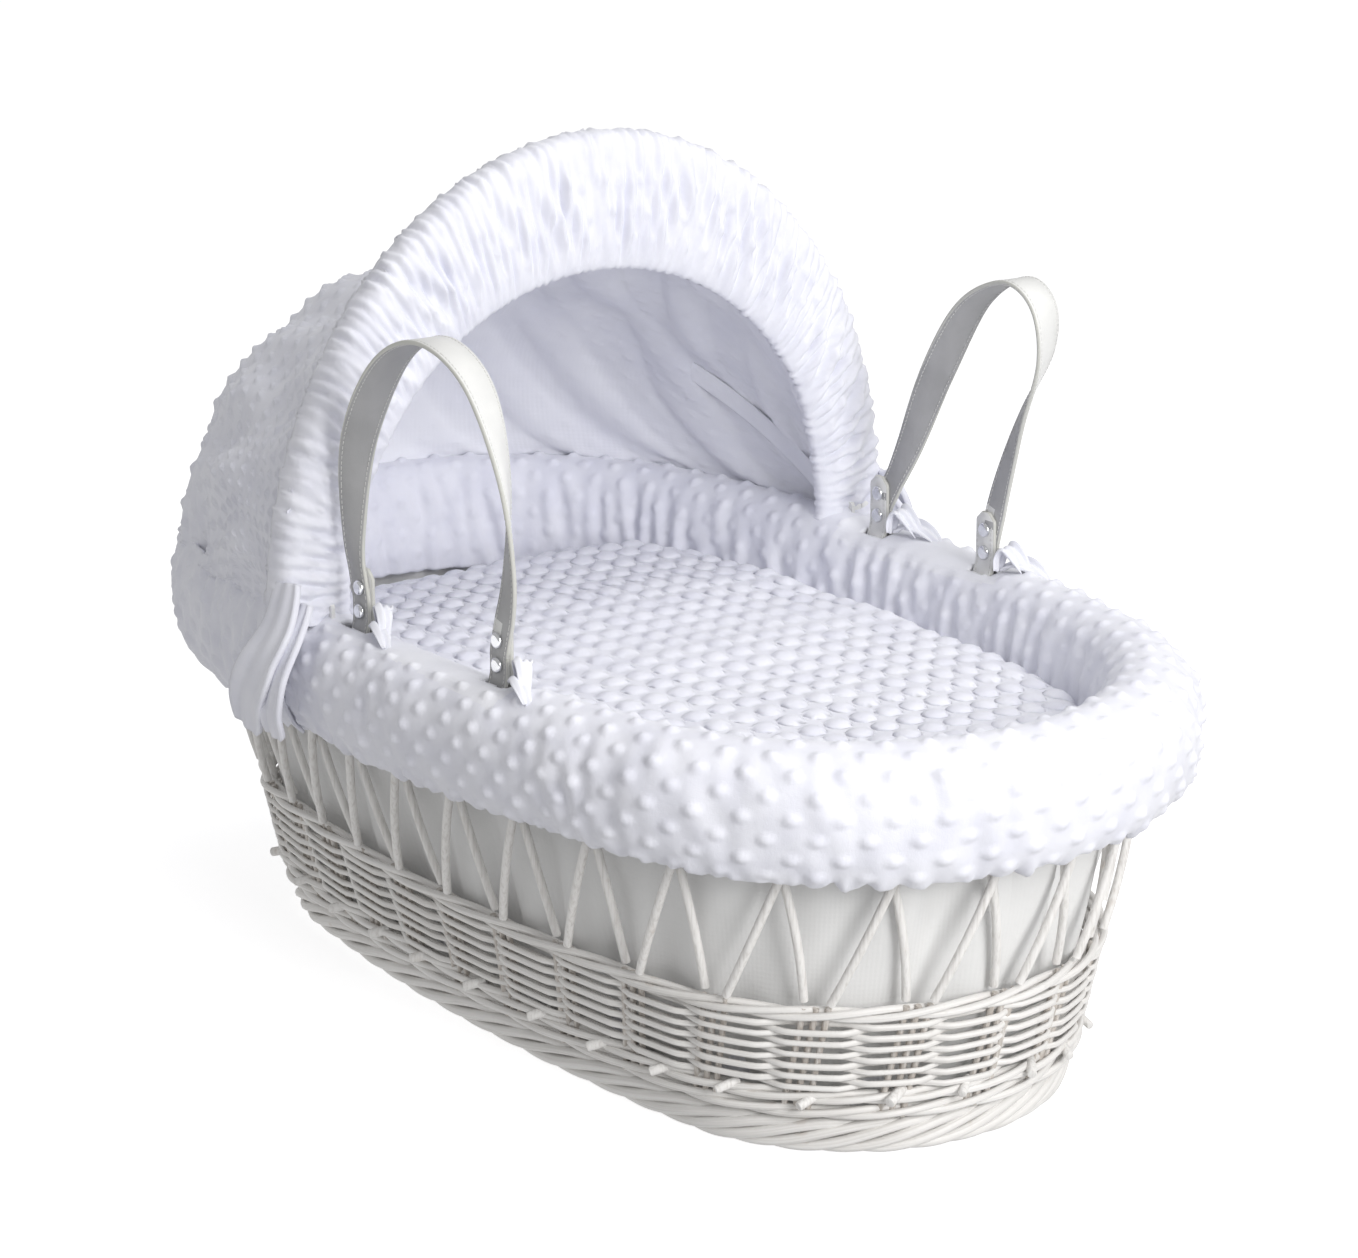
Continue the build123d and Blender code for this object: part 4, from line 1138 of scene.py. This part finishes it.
@dataclass
class GatheredHood:
    """The hood: dotted canopy, its lining, the gathered front band and the skirt over the collar."""

    oval: BasketOval
    finishes: Finishes
    pivot: tuple[float, float] = (-0.080, 0.300)
    half_width: float = 0.262
    mouth: tuple[float, float] = (0.209, 0.212)
    lining_inset: float = 0.016
    canopy_columns: int = 330
    canopy_rows: int = 210

    def reach(self) -> np.ndarray:
        """(lean back from upright, reach) along the top of the hood, front to back."""
        leans = ((0, 0.3045), (8, 0.277), (20, 0.251), (31, 0.246), (42, 0.258), (50, 0.285), (58, 0.309),
                 (68, 0.330), (79, 0.346), (90, 0.357))
        return np.array([(math.radians(lean), reach, self.half_width) for lean, reach in leans])

    def lining_reach(self) -> np.ndarray:
        """(lean back, reach, half width) of the lining, from the mouth's edge back to the brim."""
        leans = ((0, 0.2122, 0.2092), (8, 0.217, 0.217), (20, 0.227, 0.229), (31, 0.227, 0.232),
                 (42, 0.240, 0.232),
                 (50, 0.265, 0.232), (58, 0.2865, 0.232), (68, 0.308, 0.234), (79, 0.324, 0.238),
                 (90, 0.335, 0.242))
        return np.array([(math.radians(lean), reach, half) for lean, reach, half in leans])

    def corner_turns(self) -> tuple[float, float]:
        """Shares of the way round the oval of the hood's far and near front corners."""
        turns = np.linspace(0.0, 0.5, 2001)
        points, _ = self.oval.place(turns, self.oval.rim_height)
        far = float(np.interp(-self.pivot[0], -points[:, 0], turns))
        return far, 1.0 - far

    def shell(self, line: np.ndarray, inset: float, columns: int, rows: int) -> tuple[np.ndarray,
                                                                                      np.ndarray,
                                                                                      np.ndarray]:
        """The hood's curved sheet.

        Args:
            line: (lean back from upright, reach, half width) of its arches, front to back.
            inset: how far inside the outer cloth it lies at the brim.
            columns: steps over the hood from side to side.
            rows: steps from the front hoop to the hem.

        Returns:
            The points, the distance across and the distance front to back.
        """
        crown = [-np.sin(line[:, 0]) * line[:, 1], np.cos(line[:, 0]) * line[:, 1], line[:, 2]]
        profile = smooth_line(np.stack(crown, axis=1), rows + 1)
        lean = np.arctan2(-profile[:, 0], profile[:, 1])[:, None]
        reach = np.linalg.norm(profile[:, :2], axis=1)[:, None]
        over = np.linspace(0, math.pi, columns + 1)[None, :]
        bow = profile[:, 2:] * np.cos(over)
        rise = reach * np.sin(over)
        hoop = np.stack([self.pivot[0] - rise * np.sin(lean), bow, self.pivot[1] + rise * np.cos(lean)],
                        axis=-1)
        far, near = self.corner_turns()
        turn = far + (near - far) * (np.linspace(0, 1, columns + 1))
        brim, _ = self.oval.place(turn, self.pivot[1] - 0.004, 0.034 - inset)
        brim[:, 0] += 0.006
        settle = ease(lean, math.radians(62), math.radians(92))[..., None]
        points = hoop * (1 - settle) + brim[None] * settle
        points[..., 2] += (settle[..., 0] * (hoop[..., 2] - self.pivot[1] + 0.004)) * (1 - settle[..., 0])
        along = np.concatenate([[0], np.cumsum(np.linalg.norm(np.diff(profile, axis=0), axis=1))])[:,
                                                                                                   None]
        across = 0.27 * over
        return points, np.broadcast_to(across, bow.shape), np.broadcast_to(along, bow.shape)

    def canopy(self) -> bpy.types.Object:
        """The outer dotted cloth."""
        points, across, along = self.shell(self.reach(), 0.0, self.canopy_columns, self.canopy_rows)
        normals = -grid_normals(points)
        centre = np.array([self.pivot[0] - 0.1, 0, self.pivot[1]])
        normals *= np.sign(np.sum((points - centre) * normals, axis=-1, keepdims=True))
        edge = np.minimum(across, across.max() - across)
        open_cloth = ease(edge, 0.0, 0.10)
        end = along.max() - along
        pull = 0.0034 * crumple(across + 0.30 * along, along, across.max() * 2, 0.085, 2.6, 31)
        gathers = crumple(across, along, across.max(), 0.015, 12.0, 32)
        pucker = gathers * (0.0016 * np.exp(-along / 0.030) + 0.0024 * np.exp(-end / 0.05))
        bumps = Dots(pitch=0.029, row=0.0150, radius=0.0055, height=0.0032).raise_at(
            across * 1.02 + 0.12 * along, along + 0.10 * across)
        height = open_cloth * (pull * ease(along, 0.0, 0.05) * ease(end, 0.0, 0.03) + bumps) + ease(
            edge, 0.0, 0.04) * pucker
        points = points + normals * height[..., None]
        piece = bend_cloth("hood_canopy_cloth", points, np.stack([across, along], axis=-1),
                           self.finishes.plush)
        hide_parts("hood_canopy")
        return piece

    def inner_cloth(self) -> bpy.types.Object:
        """The plain lining under the canopy, pulled into long folds."""
        points, across, along = self.shell(self.lining_reach(), self.lining_inset, 230, 150)
        normals = -grid_normals(points)
        centre = np.array([self.pivot[0] - 0.1, 0, self.pivot[1]])
        normals *= np.sign(np.sum((points - centre) * normals, axis=-1, keepdims=True))
        edge = np.minimum(across, across.max() - across)
        folds = crumple(across * 0.9 + 0.75 * along, along - across * 0.5, across.max() * 2, 0.095, 5.0,
                        52, 6)
        ridges = np.sign(folds) * np.abs(folds) ** 0.7
        bumps = Dots(pitch=0.029, row=0.015, radius=0.0058,
                     height=0.0012).raise_at(across * 1.02 + 0.12 * along,
                                                                                   along + 0.10 * across)
        height = ease(edge, 0.0, 0.12) * ease(along, 0.0,
                                              0.05) * (-0.0045 * np.clip(ridges + 0.4, 0.0, 1.6) - bumps)
        points = points + normals * height[..., None]
        return bend_cloth("hood_lining_cloth", points, np.stack([across, along], axis=-1),
                          self.finishes.cotton)

    def hoop_tape(self) -> bpy.types.Object:
        """The tape sewn inside the hood that holds the middle hoop."""
        lean = math.radians(57)
        over = np.linspace(0.10, 0.62, 90)
        rise, half = 0.2825, 0.2285
        path = np.stack([self.pivot[0] - rise * np.sin(over) * math.sin(lean), half * np.cos(over),
                         self.pivot[1] + rise * np.sin(over) * math.cos(lean)], axis=1)
        side = np.tile([-math.cos(lean), 0.0, -math.sin(lean)], (len(path), 1))
        lift = unit(np.cross(unit(np.gradient(path, axis=0)), side))
        section = round_section(0.0085, 0.0008, 12)
        return sweep_section("hood_hoop_tape", path, side, lift, section, self.finishes.cotton,
                             looped=False)

    def front_band(self) -> bpy.types.Object:
        """The wide gathered band round the hood's mouth; it wraps over the front hoop."""
        columns, rows = 900, 52
        over = np.linspace(0.0, math.pi, columns + 1)[None, :]
        outer, inner = (self.half_width + 0.001, 0.3055), self.mouth
        line = smooth_line(((-0.018, 1.00), (-0.011, 1.035), (0.0, 1.055), (0.008, 0.98), (0.0115, 0.80),
                            (0.0125, 0.5),
                            (0.0105, 0.2), (0.005, 0.03), (0.0, 0.0), (-0.006, 0.08), (-0.008, 0.25)),
                            rows + 1)
        ahead, share = line[:, :1], line[:, 1:]
        step = np.concatenate([[0],
                               np.cumsum(np.linalg.norm(np.diff(line * [1, 0.07], axis=0), axis=1))])[:,
                                                                                                      None]
        around, across = np.broadcast_arrays(over * 0.262, step)
        wide = inner[0] + (outer[0] - inner[0]) * share
        high = inner[1] + (outer[1] - inner[1]) * share
        total = around.max()
        fine = crumple(around, across, total, 0.0105, 9.0, 61, 9)
        slow = crumple(around + 0.35 * across, across, total, 0.022, 3.0, 62, 7)
        front = np.exp(-((share - 0.55) / 0.42) ** 2)
        bead = np.exp(-((share - 1.04) / 0.05) ** 2)
        gather = front * (0.0019 * fine + 0.0021 * slow) + 0.0009 * bead * fine
        bumps = Dots(pitch=0.023, row=0.016, radius=0.0052, height=0.0026).raise_at(
            around * 1.25 + 0.004 * fine, across + 0.003 * slow)
        ahead = ahead + gather + bumps * front * (ahead > 0)
        ragged = 0.0011 * fine * bead + 0.0007 * fine * np.exp(-(share / 0.08) ** 2)
        foot = ease(np.abs(np.cos(over)), 0.86, 1.0)
        points = np.stack([self.pivot[0] + ahead - 0.004 * foot, (wide + ragged) * np.cos(over),
                           self.pivot[1] - 0.006 * foot + (high + ragged) * np.sin(over)], axis=-1)
        outward = (points - np.array([self.pivot[0], 0, self.pivot[1]])) * [0, 1, 1]
        points = points + unit(outward) * (bumps * np.clip(bead * 1.5, 0, 1))[..., None]
        piece = bend_cloth("hood_gathered_band", points, np.stack([around, across], axis=-1),
                           self.finishes.plush)
        thicken(piece, 0.0012, 0.0)
        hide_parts("hood_front_band")
        return piece

    def skirt(self) -> bpy.types.Object:
        """The hood's lower edge, which hugs the collar round the head end."""
        columns, rows = 620, 64
        far, near = self.corner_turns()
        start, stop = far + 0.008, near - 0.008
        low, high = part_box("hood_skirt")
        profile = np.array([(self.pivot[1] + 0.0040, 0.0285), (0.288, 0.0385), (0.268, 0.0432),
                            (0.248, 0.0432),
                            (0.232, 0.0405), (low.z + 0.008, 0.036), (low.z + 0.001, 0.030)])
        line = smooth_line(profile, rows + 1)
        turn = np.linspace(start, stop, columns + 1)[None, :]
        step = np.concatenate([[0], np.cumsum(np.linalg.norm(np.diff(line, axis=0), axis=1))])[:, None]
        around, across = np.broadcast_arrays(self.oval.round_length(0.26) * (turn - start), step)
        share = across / across.max()
        hem = ease(share, 0.75, 1.0)
        folds = crumple(around + 0.15 * across, across, around.max(), 0.017, 6.0, 71)
        slow = crumple(around, across, around.max(), 0.10, 2.0, 72)
        out = line[:, 1:] + 0.0015 * slow + folds * (0.0012 + 0.0012 * hem)
        z = line[:, :1] + hem * 0.003 * crumple(around, across, around.max(), 0.03, 9, 73)
        points, outward = self.oval.place(np.broadcast_to(turn, around.shape), z, out)
        points[..., 0] += 0.006
        edge = np.minimum(around, around.max() - around)
        bumps = Dots(pitch=0.029, row=0.015, radius=0.0055, height=0.0028).raise_at(around,
                                                                                    across + 0.004)
        points = points + outward * (bumps * ease(edge, 0, 0.03) * (1 - hem))[..., None]
        piece = bend_cloth("hood_skirt_cloth", points, np.stack([around, across], axis=-1),
                           self.finishes.plush)
        thicken(piece, 0.0025)
        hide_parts("hood_skirt")
        return piece

    def corner_ties(self) -> list[bpy.types.Object]:
        """The gathered cotton ends that tie the band down at both front corners."""
        pieces = []
        for side, label in ((-1, "near"), (1, "far")):
            y = side * (self.half_width + 0.004)
            x = self.pivot[0]
            lines = (((x + 0.006, y - side * 0.004, 0.326), (x + 0.010, y + side * 0.007, 0.300),
                      (x + 0.000, y + side * 0.017, 0.272), (x - 0.018, y + side * 0.017, 0.244),
                      (x - 0.030, y + side * 0.010, 0.217)),
                     ((x + 0.016, y - side * 0.010, 0.312), (x + 0.020, y + side * 0.004, 0.290),
                      (x + 0.016, y + side * 0.014, 0.264), (x + 0.006, y + side * 0.013, 0.238),
                      (x + 0.000, y + side * 0.006, 0.217)))
            for index, (points, width) in enumerate(zip(lines, (0.038, 0.026))):
                pieces.append(Ribbon(f"hood_tie_{label}_{index + 1}", points, (1, 0, 0.1), width,
                                     thickness=0.0045, folds=0.0008,
                                     taper=0.35).build(self.finishes.plush))
        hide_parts("hood_ties")
        return pieces

    def build(self) -> list[bpy.types.Object]:
        """Make the hood; its front band rides on the hood's front body and its skirt on the basket."""
        moving = [self.canopy(), self.inner_cloth(), self.hoop_tape()]
        for piece in moving:
            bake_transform(piece)
        band, skirt = self.front_band(), self.skirt()
        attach(band, "hood_front")
        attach(skirt, "basket")
        for node in ("hood_front_hoop", "hood_mid_hoop", "hood_pivot_spacers"):
            dress(node, self.finishes.plastic)
        dress("hood_brackets", self.finishes.enamel)
        for node in ("hood_bracket_screws", "hood_pivot_pins"):
            dress(node, self.finishes.steel)
        return [*moving, band, skirt, *self.corner_ties()]


@dataclass
class StrapBows:
    """Cotton ribbons tied at each strap's opening in the collar."""

    oval: BasketOval
    finishes: Finishes
    feet: list[StrapFoot]

    def build(self) -> list[bpy.types.Object]:
        """Make a raised loop and a flat end at each foot."""
        pieces = []
        for index, foot in enumerate(self.feet):
            y = self.oval.rim_y(foot.x, foot.side)
            knot = np.array([foot.x + 0.016, y - foot.side * 0.004, 0.301])
            s = foot.side
            shapes = (((0, 0, -0.003), (0.002, s * 0.001, 0.009), (0.007, s * 0.003, 0.015),
                       (0.013, s * 0.005, 0.011), (0.018, s * 0.008, 0.003), (0.020, s * 0.010, -0.003)),
                      ((0, s * 0.004, -0.002), (0.012, s * 0.010, 0.004), (0.024, s * 0.014, 0.001),
                       (0.034, s * 0.018, -0.006)))
            for part, shape in enumerate(shapes):
                points = [tuple(knot + np.array(p)) for p in shape]
                pieces.append(Ribbon(f"strap_bow_{index + 1}_{part + 1}", points, (0.1, 0.9 * s, 0.3),
                                     0.014,
                                     folds=0.0016, taper=0.55).build(self.finishes.cotton))
        return pieces


# ---------------------------------------------------------------- studio
@dataclass
class Studio:
    """Pale floor, soft lights and the camera."""

    target: tuple[float, float, float] = (0.0229, 0.0, 0.270)
    azimuth: float = 53.484
    elevation: float = 16.640
    distance: float = 2.8918
    lens: float = 108.2
    floor_half: float = 30.0
    floor_glow: float = 0.66
    ambient: float = 0.50
    lights: tuple = (("key_light", (2.9, -0.15, 1.75), 1.3, 38.0, (1.0, 0.99, 0.98)),
                     ("front_fill", (2.4, -0.25, 0.85), 0.8, 17.0, (1.0, 1.0, 1.0)),
                     ("top_light", (0.6, 0.9, 2.6), 1.8, 17.0, (1.0, 1.0, 1.0)))

    def floor(self) -> bpy.types.Object:
        """A wide pale floor."""
        ground = bmesh.new()
        bmesh.ops.create_grid(ground, x_segments=2, y_segments=2, size=self.floor_half)
        mesh = bpy.data.meshes.new("studio_floor")
        ground.to_mesh(mesh)
        ground.free()
        paint = bpy.data.materials.new("studio_floor_paint")
        paint.use_nodes = True
        surface = next(node for node in paint.node_tree.nodes if node.type == "BSDF_PRINCIPLED")
        surface.inputs["Base Color"].default_value = (0.72, 0.72, 0.73, 1.0)
        surface.inputs["Roughness"].default_value = 0.95
        surface.inputs["Emission Color"].default_value = (1.0, 1.0, 1.0, 1.0)
        surface.inputs["Emission Strength"].default_value = self.floor_glow
        piece = add_object("studio_floor", mesh, paint)
        piece.visible_diffuse = False
        return piece

    def light(self, name: str, place: Sequence[float], size: float, power: float, colour: tuple) -> None:
        """A square soft light aimed at the object."""
        lamp = bpy.data.lights.new(name, "AREA")
        lamp.energy, lamp.size, lamp.color = power, size, colour
        holder = bpy.data.objects.new(name, lamp)
        bpy.context.scene.collection.objects.link(holder)
        holder.location = place
        aim = Vector(self.target) - Vector(place)
        holder.rotation_mode = "QUATERNION"
        holder.rotation_quaternion = aim.to_track_quat("-Z", "Y")

    def camera(self) -> None:
        """The camera."""
        lens = bpy.data.cameras.new("studio_camera")
        lens.lens, lens.sensor_width = self.lens, 36.0
        lens.clip_end = 100
        holder = bpy.data.objects.new("studio_camera", lens)
        bpy.context.scene.collection.objects.link(holder)
        a, e = math.radians(self.azimuth), math.radians(self.elevation)
        back = Vector((math.sin(a) * math.cos(e), -math.cos(a) * math.cos(e), math.sin(e)))
        holder.location = Vector(self.target) + back * self.distance
        holder.rotation_mode = "QUATERNION"
        holder.rotation_quaternion = (-back).to_track_quat("-Z", "Y")
        bpy.context.scene.camera = holder

    def build(self) -> None:
        """Set the whole studio."""
        world = bpy.data.worlds.new("studio_world")
        world.use_nodes = True
        background = world.node_tree.nodes["Background"]
        background.inputs["Color"].default_value = (1.0, 1.0, 1.0, 1.0)
        background.inputs["Strength"].default_value = self.ambient
        bpy.context.scene.world = world
        bpy.context.scene.view_settings.view_transform = "Standard"
        self.floor()
        for lamp in self.lights:
            self.light(*lamp)
        self.camera()


def main() -> None:
    """Build every part of the basket in order."""
    logging.basicConfig(level=logging.INFO, format="%(name)s: %(message)s")
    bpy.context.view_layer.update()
    Studio().build()
    finishes = Finishes()
    oval = BasketOval.from_frame()
    near_route = ((-0.039, 0.316), (-0.047, 0.362), (-0.038, 0.430), (0.002, 0.491), (0.051, 0.513),
                  (0.100, 0.493), (0.128, 0.436), (0.133, 0.370), (0.121, 0.316))
    far_route = ((-0.025, 0.316), (0.004, 0.364), (0.038, 0.430), (0.078, 0.487), (0.124, 0.511),
                 (0.154, 0.498),
                 (0.158, 0.462), (0.134, 0.412), (0.114, 0.360), (0.101, 0.316))
    feet = [StrapFoot(near_route[0][0], -1, before=0.022), StrapFoot(near_route[-1][0], -1),
            StrapFoot(far_route[0][0], 1), StrapFoot(far_route[-1][0], 1)]
    collar = PaddedCollar(oval, finishes, feet)
    groups = (("willow", WillowBasket(oval, finishes).build),
              ("bedding", Bedding(oval, finishes).build),
              ("collar", lambda: [collar.build()]),
              ("near strap", CarryingStrap(oval, finishes, "near", -1, near_route).build),
              ("far strap", CarryingStrap(oval, finishes, "far", 1, far_route).build),
              ("hood", GatheredHood(oval, finishes).build),
              ("bows", StrapBows(oval, finishes, feet).build))
    for label, build in groups:
        for piece in build():
            LOG.info("%s: %s, %d faces", label, piece.name, len(piece.data.polygons))


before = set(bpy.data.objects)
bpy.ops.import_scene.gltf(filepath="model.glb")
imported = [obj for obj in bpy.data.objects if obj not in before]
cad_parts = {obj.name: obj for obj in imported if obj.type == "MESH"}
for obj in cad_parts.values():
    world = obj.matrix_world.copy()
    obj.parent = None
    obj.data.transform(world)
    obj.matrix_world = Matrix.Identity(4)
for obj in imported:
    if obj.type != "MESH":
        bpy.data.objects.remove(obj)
if __name__ == "__main__":
    main()
